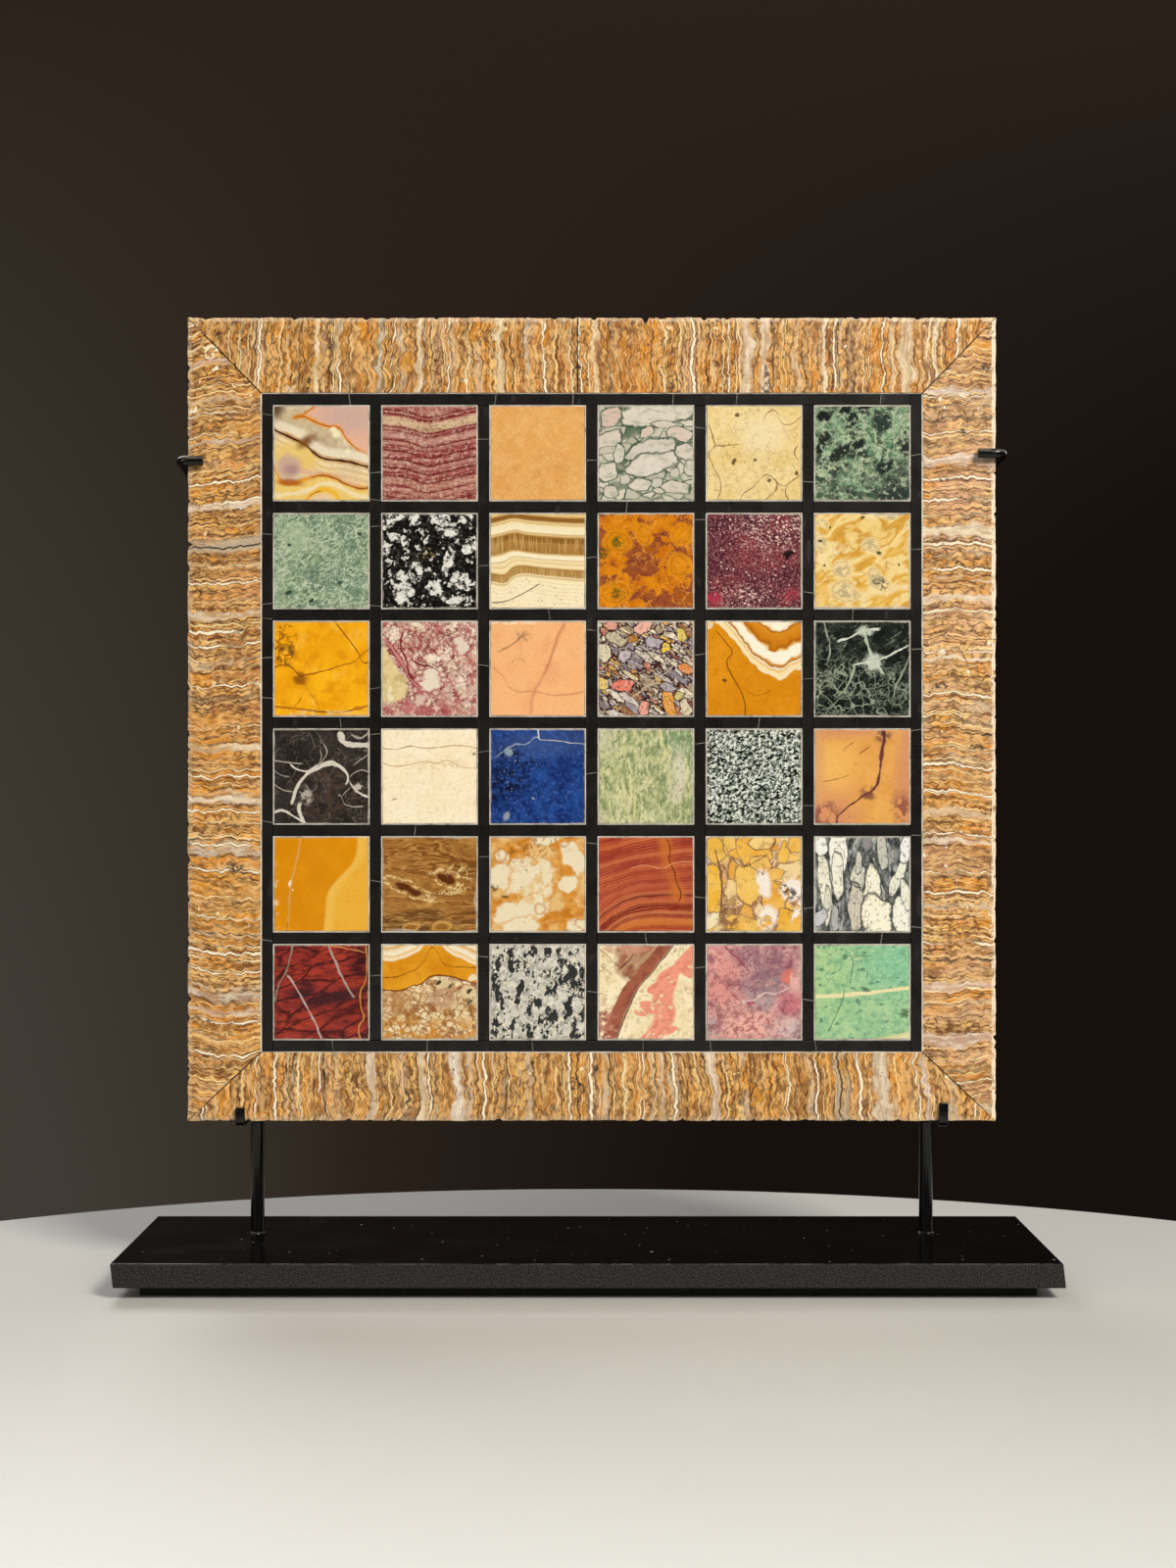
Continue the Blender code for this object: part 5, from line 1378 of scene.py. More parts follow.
def marked_beds(s, beds):
    """Lays the broad beds that stand out, each row a place, half its thickness and a paint."""
    laid = 0.0
    for place, half, paint in rows(beds, SQUARE):
        ragged = half * SQUARE / 13
        reach = s.times_plus(s.wave(5.0), ragged, s.off(s.u, place))
        laid = s.either(laid, s.lay(s.steps(reach, half, half * 0.4), paint, 0.75))
    s.lay(s.both(laid, s.patches(12.0, 0.5, 0.06, 4.0, stretch=(1, 0.15, 0.15))), "A0703C", 0.6)
    s.lay(s.both(laid, s.patches(20.0, 0.54, 0.06, 4.0, stretch=(1, 0.3, 0.3))), "FCF0DA", 0.6)


def lumps_of_amber(s, lumps):
    """Lays rounded lumps with a thin dark rim, each row its x and z, half its width and half its height."""
    for x, z, across, down in rows(lumps, SQUARE) if lumps else ():
        distance = s.ellipse(x, -z, across, down, 0.1, 0.1, 1.2, 5.0, output="Distance")
        s.lay(s.steps(distance, 1.25, 1.1), "7A4610", 0.7)
        s.lay(s.steps(distance, 1.1, 0.9), "DE9A34", 0.75)


def border_stone_material(side, along, sign, seed, pale_bed, tint, tint_share, worn_edge_highlight, beds, lumps):
    """Banded travertine for one side. Its beds cross the side's length, so u runs through them."""
    turn = (math.pi / 2, 0, 0) if along == 0 else (math.pi / 2, 0, math.pi / 2)
    s = Finish("banded_travertine_" + side, TABLET_MIDDLE, seed, turn)
    flat, lenses = (1, 0.08, 0.08), (1, 0.3, 0.25)
    s.bend(1.0, 0.06, 2.0)
    s.sway(1.3, 0.3)
    s.sway(4.5, 0.1)
    slow = s.patches(3.0, detail=4.0, stretch=flat, rough=0.6, output="Value")
    s.colour = s.ramp(
        slow, "32 98602C, 39 DE9A48, 43 AC7030, 47 ECAC54, 50 C08036, 54 F4B048, 59 B47634, 66 F0B868")
    s.clouds("0.5 49 10 3 CA9068 55, 0.8 53 6 3 A0742E 65")
    s.clouds("1.3 53 5 3 E0962A 80", (1, 0.5, 0.5))
    s.clouds("1.1 57 4 3 A87036 75", (1, 0.4, 0.4))
    s.lay(s.patches(0.7, 0.45, 0.2), tint, tint_share)
    s.clouds("4 55 3 4 E2962A 80", lenses)
    s.clouds("3.6 60 3 4 D2AE8A 70", flat)
    s.clouds("6 58 4 4 DDB478 60, 6 58 4 4 865422 70", lenses)
    s.sway(12.0, 0.07)
    s.bend(24.0, 0.0045, 2.0)
    knots = s.cells(2.3, (1.25, 0.9, 0.9))
    knotted = s.math("LESS_THAN", knots["Piece"], 0.16)
    s.lay(s.both(knotted, s.steps(knots["Centre"], 0.36, 0.33)), "7E4A18", 0.85)
    s.lay(s.both(knotted, s.steps(knots["Centre"], 0.32, 0.3)), "DE942A")
    grains = s.cells(15.0, (1.0, 0.6, 0.6))
    nodular = s.patches(3.0, 0.5, 0.05, 3.0, stretch=lenses)
    s.lay(s.both(nodular, s.steps(grains["Tone"], 0.5, 0.85)), "F0C070", 0.75)
    s.lay(s.both(nodular, s.steps(grains["Edge"], 0.13, 0.03)), "6E4014", 0.8)
    s.beds(24.0, 0.006, "6E3C14", 0.7, 0.1, 0.85, 0.42)
    s.beds(17.0, 0.006, "F2C880", 0.6, -0.1, 0.8, 0.44)
    s.beds(13.0, 0.009, "5E3410", 0.6, 0.1, 0.9, 0.4)
    s.beds(7.0, 0.016, "A08C6A", 0.3, 0.08, 0.7, 0.44)
    s.beds(4.0, 0.035, "DABE98", 0.25, 0.1, 0.75, 0.46)
    s.beds(1.4, 0.05, "D2BEA4", 0.3, 0.05, 0.8, 0.48)
    lumps_of_amber(s, lumps)
    s.clouds("27 54 6 4 FFD08A 45, 29 56 5 4 4C2A0C 50", (1, 0.4, 0.4))
    s.beds(6.0, 0.006, "2C1A0A", 0.65, -0.1, 0.95, 0.42)
    s.beds(8.0, 0.007, "F6DCA4", 0.65, 0.08, 0.95, 0.44)
    s.beds(4.0, 0.009, "F6E4BA", 0.5, -0.05, 0.9, 0.46)
    veins = s.seed
    s.beds(2.7, 0.024, "6E3E14", 0.7, 0.0, 0.75, 0.36)
    s.seed = veins
    s.beds(2.7, 0.013, "FCEFD2", 0.7, 0.0, 1.0, 0.38)
    streaks = s.patches(9.0, 0.45, 0.08, 3.0, stretch=(1, 0.12, 0.12))
    s.lay(s.both(s.steps(s.off(s.u, pale_bed), 0.09, 0.04), streaks), "C2B298", 0.85)
    s.lay(s.steps(s.off(s.u, pale_bed - 0.02), 0.014, 0.005), "2E2218", 0.95)
    marked_beds(s, beds)
    holes = s.both(s.patches(7.0, 0.68, 0.02, 4.0, stretch=lenses), s.patches(24.0, 0.5, 0.08))
    s.lay(holes, "33261A", 0.9)
    s.lay(s.cracks(2.6, 0.008, 0.16, 0.52), "40280F", 0.85)
    fine = s.noise(s.at, 30.0, 3.0)
    made = s.worn(0.42, 0.2, 0.8, 32.0, s.next_seed())
    s.lay(made["Pit"], "2A1C10", 0.8)
    # The outer edge paled: partly worn stone, partly a painted highlight.
    pale_lit_edge(s, 2 - along, sign, worn_edge_highlight)
    return s.finish(made["Roughness"], s.times_plus(fine, 0.8, made["Height"]), 0.25, 0.4)


def black_marble_material():
    s = Finish("black_marble", TABLET_MIDDLE, 5.0)
    s.colour = linear("110F0D")
    s.lay(s.patches(6.0, 0.55, 0.15, 5.0), "1B1916", 0.8)
    s.lay(s.patches(50.0, 0.66, 0.05, 4.0), "4A4A46", 0.5)
    s.lay(s.specks(50.0, 0.14, 0.08), "8A8A82", 0.6)
    made = s.worn(0.3, 0.25, 0.3, 50.0, 3.0)
    return s.finish(made["Roughness"], made["Height"], 0.15)


def putty_material(name, code, dark):
    s = Finish(name, TABLET_MIDDLE, 9.0)
    s.colour = linear(code)
    s.lay(s.patches(5.0, 0.54, 0.1, 4.0), dark, 0.8)
    s.lay(s.patches(9.0, 0.62, 0.08, 3.0), "5E5A52", 0.6)
    s.lay(s.patches(90.0, 0.6, 0.1), "EFEBE2", 0.5)
    return s.finish(0.8, s.noise(s.at, 130.0), 0.5, 0.2)


def slate_material():
    s = Finish("grey_slate", TABLET_MIDDLE, 11.0)
    s.colour = s.mix(s.patches(0.8, 0.5, 0.2, 5.0), "42464A", "565A5C")
    s.lay(s.patches(10.0, 0.6, 0.1, 4.0, stretch=(0.2, 1, 1)), "35383A", 0.6)
    s.lay(s.patches(1.8, 0.63, 0.06, 5.0), "7A7468", 0.35)
    grooves = {"Vector": s.at, "Scale": 5.0, "Distortion": 1.5, "Detail": 3.0, "Detail Scale": 2.0}
    sawn = s.node("TexWave", grooves).outputs["Fac"]
    s.lay(s.steps(sawn, 0.6, 0.9), "64686A", 0.3)
    height = s.times_plus(s.noise(s.at, 22.0, 6.0), 0.6, sawn)
    return s.finish(s.steps(s.noise(s.at, 11.0, 5.0), 0.3, 0.7, 0.6, 0.85), height, 0.5, 0.5)


def steel_material(name, roughness, seed, dust, dull, shine, side_grain_sheen):
    """Black lacquer on steel: a shining top with settled dust, and grainy sides painted greyer than the top
    as painted sheen, duller where asked.
    """
    s = Finish(name, (0, 0, PLATE_HIGH.z), seed)
    s.colour = linear("070606")
    s.lay(s.patches(2.0, 0.5, 0.2, 4.0), "0C0C0D", 0.7)
    rise = along_axis(s, "Normal", 2)
    facing_up = s.steps(rise, 0.6, 0.95)
    side = s.outside(facing_up)
    specks = s.either(s.specks(5.0, 0.055, 0.16), s.specks(13.0, 0.09, 0.12))
    lint = s.times(specks, s.times(facing_up, dust))
    s.lay(lint, "D8D8D2", 0.9)
    # The sides get a grey grain: real fine texture, and painted sheen that makes them lighter than the top.
    grain = s.patches(70.0, 0.5, 0.2, 3.0)
    s.lay(s.both(grain, side), "454444", side_grain_sheen)
    # Painted highlight, with some real wear: a paler grey where the surface slants between top and sides, on
    # bevels and bends.
    worn_edge_highlight = s.both(s.steps(rise, 0.2, 0.5), side, s.patches(9.0, 0.5, 0.08, 3.0))
    s.lay(worn_edge_highlight, "6E6C68", 0.8)
    made = s.worn(roughness, 0.08, 0.1, 12.0, seed)
    haze = s.times(s.patches(1.1, 0.55, 0.15, 4.0), s.times(facing_up, 0.06))
    rough = s.plus(made["Roughness"], s.times_plus(lint, 0.4, haze))
    rough = s.times_plus(side, dull, rough, clamp=True)
    height = s.times_plus(s.both(grain, side), 0.5, made["Height"])
    s.shader.inputs["Specular IOR Level"].default_value = shine
    return s.finish(rough, height, 0.12, 0.2)


def rubber_material():
    s = Finish("black_rubber", (0, 0, 0), 15.0)
    s.colour = linear("101010")
    s.lay(s.patches(18.0, 0.55, 0.1, 4.0), "1C1C1B", 0.8)
    return s.finish(0.85, s.noise(s.at, 90.0, 4.0), 0.4, 0.2)


# ------------------------------------------------------------------ pieces


def linked(name, data):
    """A new object in the scene."""
    obj = bpy.data.objects.new(name, data)
    bpy.context.scene.collection.objects.link(obj)
    return obj


def piece(name, bm, material, replaces=()):
    """A finished piece: its mesh closed and facing out, riding on the part's one body."""
    bmesh.ops.recalc_face_normals(bm, faces=bm.faces)
    mesh = bpy.data.meshes.new(name)
    bm.to_mesh(mesh)
    bm.free()
    mesh.materials.append(material)
    obj = linked(name, mesh)
    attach(obj, "root")
    if replaces:
        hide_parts(*replaces)
    return obj


def add_box(bm, low, high):
    """Adds a box and returns its vertices."""
    size, middle = Vector(high) - Vector(low), (Vector(high) + Vector(low)) / 2
    matrix = Matrix.Translation(middle) @ Matrix.Diagonal((*size, 1))
    return bmesh.ops.create_cube(bm, size=1, matrix=matrix)["verts"]


def ease(bm, edges, offset, segments=2):
    """Bevels these edges by this many millimetres."""
    bmesh.ops.bevel(bm, geom=edges, offset=offset * MM, segments=segments, profile=0.5, affect="EDGES",
                    material=-1)


def front_rim(bm, front):
    """The edges round a box's front face."""
    return [e for e in bm.edges if all(v.co.y < front + 1e-6 for v in e.verts)
            and any(f.normal.y > -0.5 for f in e.link_faces)]


def extruded(bm):
    """Extrudes all the faces and returns the new vertices."""
    grown = bmesh.ops.extrude_face_region(bm, geom=bm.faces[:])["geom"]
    return [item for item in grown if isinstance(item, bmesh.types.BMVert)]


def stand_at(bm, place):
    """Turns a flat sheet to face the front and moves its middle to this place."""
    bmesh.ops.rotate(bm, matrix=Matrix.Rotation(math.pi / 2, 3, "X"), verts=bm.verts)
    bmesh.ops.translate(bm, vec=place, verts=bm.verts)


def wander(place, size, seed):
    """A smooth random number from -1 to 1 that changes over this size."""
    return noise.noise(Vector(place) / size + Vector((seed * 3.1, seed * 1.7, seed)))


def specimen(name, seed):
    """One square stone, its edges a little out of true and its arris worn."""
    low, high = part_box(name)
    middle = (low + high) / 2
    bm = bmesh.new()
    add_box(bm, low, high)
    bmesh.ops.subdivide_edges(bm, edges=bm.edges[:], cuts=13, use_grid_fill=True)
    ease(bm, front_rim(bm, low.y), 0.22)
    for vert in bm.verts:
        for axis in (0, 2):
            side = vert.co[axis] - middle[axis]
            if abs(side) > (high - low)[axis] / 2 - 0.3 * MM:
                inward = 0.14 * MM * (1 + wander(vert.co, 4 * MM, seed)) / 2
                inward += 0.10 * MM * (1 + wander(vert.co, 1.5 * MM, seed + 5)) / 2
                vert.co[axis] -= math.copysign(inward, side)
    lean = random.Random(name)
    turn = Matrix.Identity(4)
    for axis, most in (("X", 0.12), ("Z", 0.12), ("Y", 0.25)):
        turn = turn @ Matrix.Rotation(math.radians(lean.uniform(-most, most)), 4, axis)
    bmesh.ops.transform(bm, matrix=turn, space=Matrix.Translation(-middle), verts=bm.verts)
    s = Stone(name, low, high, seed * 40.0)
    PAINTER_OF[name](s)
    s.polish()
    return piece(name + "_stone", bm, s.material, [name])


def add_strip(bm, low, high, skews, seed):
    """One length of black marble, its sides a little uneven, its ends askew and its arrises eased."""
    part = bmesh.new()
    add_box(part, low, high)
    size = Vector(high) - Vector(low)
    along = 0 if size.x > size.z else 2
    long_edges = [e for e in part.edges if abs((e.verts[0].co - e.verts[1].co)[along]) > 1e-6]
    bmesh.ops.subdivide_edges(part, edges=long_edges, cuts=max(1, int(size[along] / (2.5 * MM))))
    ease(part, front_rim(part, low[1]), 0.15)
    across = 2 - along
    middle = (Vector(low) + Vector(high)) / 2
    drop = 0.08 * MM * (1 + wander(middle, 20 * MM, seed))
    for vert in part.verts:
        aside = vert.co[across] - middle[across]
        share = (vert.co[along] - low[along]) / size[along]
        vert.co[along] += aside * (skews[0] * (1 - share) + skews[1] * share)
        vert.co[across] -= aside * 0.06 * (1 + wander(vert.co, 5 * MM, seed))
        if vert.co.y < middle.y:
            vert.co.y += drop
    add_part(bm, part)


# Where the long strips are cut, in millimetres from the tablet's middle.
UPRIGHT_CUTS = (
    (112.9, 68.6, 42.8, 37.3, 22.8, 7.9, -38.0, -82.0),
    (91.4, 81.3, 71.5, 42.0, 11.5, -5.5, -60.0, -95.0),
    (103.8, 56.9, 20.0, -12.0, -51.0, -88.0),
    (96.0, 60.0, 33.0, -20.0, -46.0, -101.0),
    (108.0, 74.0, 24.0, -9.0, -66.0, -92.0),
    (88.0, 47.0, 15.0, -32.0, -70.0, -104.0),
    (98.0, 63.0, 26.0, -4.0, -43.0, -77.0),
)
LEVEL_CUTS = {
    0: (-89.8, -35.7, -7.0, 30.1, 53.7, 107.1),
    6: (-96.0, -61.0, -22.0, 19.0, 44.0, 83.0),
}
# Which short strips are cut, by row and column, and how far along.
SHORT_CUTS = {
    (1, 3): 0.3, (2, 2): 0.62, (2, 5): 0.4, (3, 0): 0.7, (3, 4): 0.55, (4, 1): 0.35, (5, 3): 0.5,
    (5, 5): 0.7,
}


def strip_middles(axis):
    low, high = LATTICE_LOW[axis], LATTICE_HIGH[axis]
    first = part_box("cloud_onyx" if axis == 0 else "red_jasper")
    wide = first[0][axis] - low - JOINT
    pitch = (high - low - wide) / 6
    return [low + wide / 2 + pitch * n for n in range(7)], wide


def black_strips():
    """Every black strip as its own length of stone, and the hairlines of putty between their ends."""
    bm, putty = bmesh.new(), bmesh.new()
    xs, wide = strip_middles(0)
    zs, tall = strip_middles(2)
    zs = zs[::-1]
    joint = STRIP_GAP / 2

    def run(axis, start, end, cuts, centre, width, seed):
        """Strips end to end from start to end along an axis, cut at these places a little askew."""
        places = [start, *sorted(cuts), end]
        skews = [0.0, *(0.16 * math.sin(cut * 4000) for cut in sorted(cuts)), 0.0]
        for at, (a, b) in enumerate(zip(places, places[1:])):
            low, high = [0, FACE_Y, 0], [0, FACING_BACK, 0]
            low[axis] = a + (joint if at else 0)
            high[axis] = b - (joint if at < len(places) - 2 else 0)
            low[2 - axis], high[2 - axis] = centre - width / 2, centre + width / 2
            add_strip(bm, low, high, skews[at:at + 2], seed + at * 0.37)
            if at:
                low[axis], high[axis] = a - joint, a + joint
                low[1] += 0.12 * MM
                low[2 - axis] += 0.15 * MM
                high[2 - axis] -= 0.15 * MM
                line = bmesh.new()
                add_box(line, low, high)
                for vert in line.verts:
                    vert.co[axis] += (vert.co[2 - axis] - centre) * skews[at]
                add_part(putty, line)

    low, high = LATTICE_LOW, LATTICE_HIGH
    for column, x in enumerate(xs):
        outer = column in (0, 6)
        cuts = [TABLET_MIDDLE.z + cut * MM for cut in UPRIGHT_CUTS[column]]
        ends = (low.z, high.z) if outer else (zs[6] + tall / 2 + joint, zs[0] - tall / 2 - joint)
        run(2, *ends, cuts, x, wide, column + 20.0)
    inner = (xs[0] + wide / 2 + joint, xs[6] - wide / 2 - joint)
    for row in (0, 6):
        run(0, *inner, [TABLET_MIDDLE.x + cut * MM for cut in LEVEL_CUTS[row]], zs[row], tall, row + 1.0)
    for row in range(1, 6):
        for column in range(6):
            start, end = xs[column] + wide / 2 + joint, xs[column + 1] - wide / 2 - joint
            share = SHORT_CUTS.get((row, column))
            cuts = [start + (end - start) * share] if share else []
            run(0, start, end, cuts, zs[row], tall, row * 7 + column + 50.0)
    piece("black_strips", bm, black_marble_material(), ["black_lattice"])
    hairline = putty_material("hairline_putty", "7C786E", "4A4740")
    piece("strip_hairlines", putty, hairline)


def add_putty_line(bm, low, high, along):
    """A line of putty along an axis, its face a little sunk and uneven."""
    line = bmesh.new()
    add_box(line, low, high)
    long_edges = [e for e in line.edges if abs((e.verts[0].co - e.verts[1].co)[along]) > 5 * MM]
    bmesh.ops.subdivide_edges(line, edges=long_edges, cuts=int((high[along] - low[along]) / (1.2 * MM)))
    for vert in line.verts:
        if vert.co.y < FACE_Y + MM:
            vert.co.y += 0.12 * MM * wander(vert.co, 3 * MM, 2.0)
    add_part(bm, line)


def joint_putty():
    """The putty round every stone and along the border, squeezed a little into the worn arrises."""
    putty = bmesh.new()
    front, back = FACE_Y + 0.16 * MM, FACING_BACK
    low, high = LATTICE_LOW, LATTICE_HIGH
    for outer, inner in ((low.x - JOINT, low.x + 0.1 * MM), (high.x - 0.1 * MM, high.x + JOINT)):
        add_putty_line(putty, (outer, front, low.z), (inner, back, high.z), 2)
    for under, over in ((low.z - JOINT, low.z), (high.z, high.z + JOINT)):
        add_putty_line(putty, (low.x, front + 0.2 * MM, under), (high.x, back, over), 0)
    for name in TILES:
        low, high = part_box(name)
        middle = (low + high) / 2
        ring = bmesh.new()
        bmesh.ops.create_grid(ring, x_segments=1, y_segments=1, size=0.5)
        size = (high.x - low.x + 1.6 * JOINT, high.z - low.z + 1.6 * JOINT, 1)
        bmesh.ops.scale(ring, vec=size, verts=ring.verts)
        bmesh.ops.inset_region(ring, faces=ring.faces[:], use_boundary=True, thickness=1.2 * JOINT, depth=0)
        centre = max(ring.faces, key=lambda face: face.calc_area())
        bmesh.ops.delete(ring, geom=[centre], context="FACES_ONLY")
        sides = [e for e in ring.edges if e.calc_length() > 5 * MM]
        bmesh.ops.subdivide_edges(ring, edges=sides, cuts=28, use_grid_fill=True)
        stand_at(ring, (middle.x, FACE_Y + 0.14 * MM, middle.z))
        for vert in ring.verts:
            vert.co.y += 0.12 * MM * wander(vert.co, 3 * MM, 2.0)
        for vert in extruded(ring):
            vert.co.y = FACING_BACK
        bmesh.ops.recalc_face_normals(ring, faces=ring.faces)
        add_part(putty, ring)
    piece("joint_putty", putty, putty_material("joint_putty", "E4DED2", "B4AEA0"))


BORDER_CELL = 0.8 * MM


def outer_edge(name, along, across, sign):
    """The worn outer edge of a border stone as places and depths, read from its solid."""
    low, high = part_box(name)
    edge = high[across] if sign > 0 else low[across]
    found = {}
    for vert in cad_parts[name].data.vertices:
        depth = abs(edge - vert.co[across])
        if depth < 6 * MM:
            found[round(vert.co[along], 6)] = depth
    places = sorted(found)
    return np.array(places), np.array([found[p] for p in places])


def border_stone(name, along, sign, material, seed):
    """One mitred stone of the border, with chips along its outer edge and open pores."""
    across = 2 - along
    low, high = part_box(name)
    places, depths = outer_edge(name, along, across, sign)
    edge = high[across] if sign > 0 else low[across]
    size = high - low
    bm = bmesh.new()
    bmesh.ops.create_grid(bm, x_segments=round(size.x / BORDER_CELL),
                          y_segments=round(size.z / BORDER_CELL), size=0.5)
    bmesh.ops.scale(bm, vec=(size.x, size.z, 1), verts=bm.verts)
    stand_at(bm, ((low.x + high.x) / 2, FACE_Y, (low.z + high.z) / 2))
    cut_mitres(bm, along, across, sign)
    reach = 9 * MM
    for vert in bm.verts:
        inward = abs(edge - vert.co[across])
        if inward < reach:
            worn = float(np.interp(vert.co[along], places, depths))
            worn += 0.12 * MM * (1 + wander(vert.co, 2 * MM, seed))
            worn += 0.1 * MM * wander(vert.co, 0.9 * MM, seed)
            worn += 2.4 * MM * max(0.0, wander(vert.co, 1.7 * MM, seed + 11) - 0.3)
            share = (1 - inward / reach) ** 1.5
            vert.co[across] -= sign * max(worn, 0) * share
    for vert in extruded(bm):
        vert.co.y = high.y
    for vert in bm.verts:
        if vert.co.y > FACE_Y + MM:
            continue
        inward = abs(edge - vert.co[across]) / MM
        worn = max(0.0, 1.0 - inward / 1.6) * (0.35 + 0.3 * wander(vert.co, 3 * MM, seed + 3))
        pit = max(0.0, wander(vert.co, 1.7 * MM, seed + 7) - 0.42) * 1.2
        vert.co.y += MM * (worn + pit)
    piece(name + "_stone", bm, material, [name])


def cut_mitres(bm, along, across, sign):
    """Cuts a side's ends along the lines from the tablet's corners to the lattice's corners."""
    outer = TABLET_HIGH[across] if sign > 0 else TABLET_LOW[across]
    inner = LATTICE_HIGH[across] + JOINT if sign > 0 else LATTICE_LOW[across] - JOINT
    ends = (
        (TABLET_LOW[along], LATTICE_LOW[along] - JOINT, 1),
        (TABLET_HIGH[along], LATTICE_HIGH[along] + JOINT, -1),
    )
    for outer_end, inner_end, way in ends:
        corner, foot = Vector((0, FACE_Y, 0)), Vector((0, FACE_Y, 0))
        corner[along], corner[across] = outer_end + way * MITRE_GAP, outer
        foot[along], foot[across] = inner_end + way * MITRE_GAP, inner
        run = foot - corner
        normal = Vector((0, 0, 0))
        normal[along] = -way * abs(run[across])
        normal[across] = way * run[along] * (1 if run[across] > 0 else -1)
        bmesh.ops.bisect_plane(bm, geom=bm.verts[:] + bm.edges[:] + bm.faces[:], plane_co=corner,
                               plane_no=normal, clear_outer=True)


# For each side of the border: its name, its axis, which way is out, its seed, the place of its pale bed,
# its tint and the tint's share, how much its outer edge is paled as wear and painted highlight, its stones,
# its marked beds and its lumps.
BORDER_SIDES = (
    ("top", 0, 1, 1.0, 5.0, "C67A10", 0.6, 0.3, ("border_top_left", "border_top_right"),
     "-102 1.1 F0DCB4, -78 1.8 6E6244, -63 1.3 F6E8C8, -61 0.5 3A2412, -33 1.4 E6CC98, 2 1.1 F4DCA8, "
     "58 2.5 E8D4B8, 65 1.8 E4CFB6, 87 1.1 F6E4BC, 117 2.9 E6CFA6, 128 1.1 ECD4AC",
     "51 136 2.8 5, 65 129 3.4 5.8, 72 129 1.8 5, 54 125 2.2 2.8, -67 132 2.6 3.8"),
    ("bottom", 0, -1, 14.0, 2.54, "D0984A", 0.4, 0.2, ("border_bottom",),
     "-112 0.4 3A2412, -83 1.8 F8EAD2, -64 1.4 F4E0BC, -59 0.5 3A2412, -51 2.9 E8DCCC, -48 0.5 4A3018, "
     "-37 0.4 3A2412, 25 1.4 DCC4A8, 44 2.2 E6D2BC, 106 3.6 DCD2B8, 123 1.4 E8D8D0",
     "61 -141 2.8 4.6"),
    ("left", 2, -1, 27.0, 1.77, "D08C3C", 0.4, 0.15, ("border_left",),
     "132 1.4 D0AE98, 102 1.1 D6B8A0, 78 1.3 E2CDB8, 38 1.8 D2B48C, -11 1.3 E0C8A0, -30 1.1 E8D8C0, "
     "-31.5 0.5 4A3018, -49 1.3 C8B8A0, -50.5 0.5 3A2614, -102 1.8 B8A698, -104 0.5 4A3420, "
     "-108 1.3 D2B09A",
     ""),
    ("right", 2, 1, 47.0, 6.0, "F0C09A", 0.6, 0.9, ("border_right",),
     "123 1.6 E6D2C6, 97 2.2 EEDFD0, 94.5 0.5 6A4424, 71 3.0 F2E4C6, 67.5 0.5 6A4424, 52 1.2 D88E20, "
     "45 1.8 F0DCBC, 23 1.1 F4E6CC, -34 1.8 ECD2B0, -44 1.4 DCC0A8, -98 1.8 E0C0AC, -118 2.5 DCC0B0",
     ""),
)


def make_border():
    """The border's stones: for each side its material, then its pieces."""
    for side, along, sign, seed, *looks, names, beds, lumps in BORDER_SIDES:
        material = border_stone_material(side, along, sign, seed, *looks, beds, lumps)
        for at, name in enumerate(names):
            border_stone(name, along, sign, material, seed + at)


def backing_slab():
    """The slate that carries the stones: sawn back, knocked edges."""
    bm = bmesh.new()
    add_box(bm, SLAB_LOW, SLAB_HIGH)
    bmesh.ops.subdivide_edges(bm, edges=bm.edges[:], cuts=60, use_grid_fill=True)
    middle = (SLAB_LOW + SLAB_HIGH) / 2
    half = (SLAB_HIGH - SLAB_LOW) / 2
    for vert in bm.verts:
        reach = [half[n] - abs(vert.co[n] - middle[n]) for n in range(3)]
        outer = sum(1 for r in reach if r < 1e-6)
        for axis in range(3):
            if reach[axis] < 1e-6:
                depth = 0.15 * MM * (1 + wander(vert.co, 12 * MM, 3.0 + axis))
                if outer > 1:
                    depth += 0.5 * MM * max(0, wander(vert.co, 6 * MM, 8.0 + axis) + 0.3)
                vert.co[axis] -= math.copysign(depth, vert.co[axis] - middle[axis])
    piece("slate_back", bm, slate_material(), ["backing_slab"])


def make_plate():
    """The plate with eased edges, and the pad under it."""
    bm = bmesh.new()
    slant = 1.0 * MM
    low = Vector((PLATE_LOW.x + slant / 2, PLATE_LOW.y, PLATE_LOW.z))
    high = Vector((PLATE_HIGH.x - slant / 2, PLATE_HIGH.y, PLATE_HIGH.z))
    for vert in add_box(bm, low, high):
        vert.co.x += slant / 2 * (-1 if vert.co.z > (low.z + high.z) / 2 else 1)
    ease(bm, bm.edges[:], 0.5, 3)
    plate = steel_material("black_painted_steel", 0.1, 21.0, 1.0, 0.24, 0.06, 0.9)
    piece("plate_steel", bm, plate, ["plate"])
    bm = bmesh.new()
    add_box(bm, FOOT_LOW, FOOT_HIGH)
    ease(bm, bm.edges[:], 0.5)
    piece("foot_pad", bm, rubber_material(), ["foot"])


# The uprights, each one welded piece of steel.
ROD_RADIUS = 2.6 * MM
ARM_RADIUS = 1.8 * MM
ARM_BEND = 2.8 * MM
ARM_OUT = 0.5 * MM
CLIP_RISE = {"left_upright": 3.0 * MM, "right_upright": 0.8 * MM}
CLIP_REACH = {"left_upright": 6.3 * MM, "right_upright": 7.3 * MM}
HOOK_WIDTH = 3.4 * MM
HOOK_THICK = 2.9 * MM
HOOK_OUT = 3.4 * MM
HOOK_BEND = 2.4 * MM
HOOK_HEIGHT = {"left_upright": 5.3 * MM, "right_upright": 7.0 * MM}
CLEARANCE = 0.3 * MM


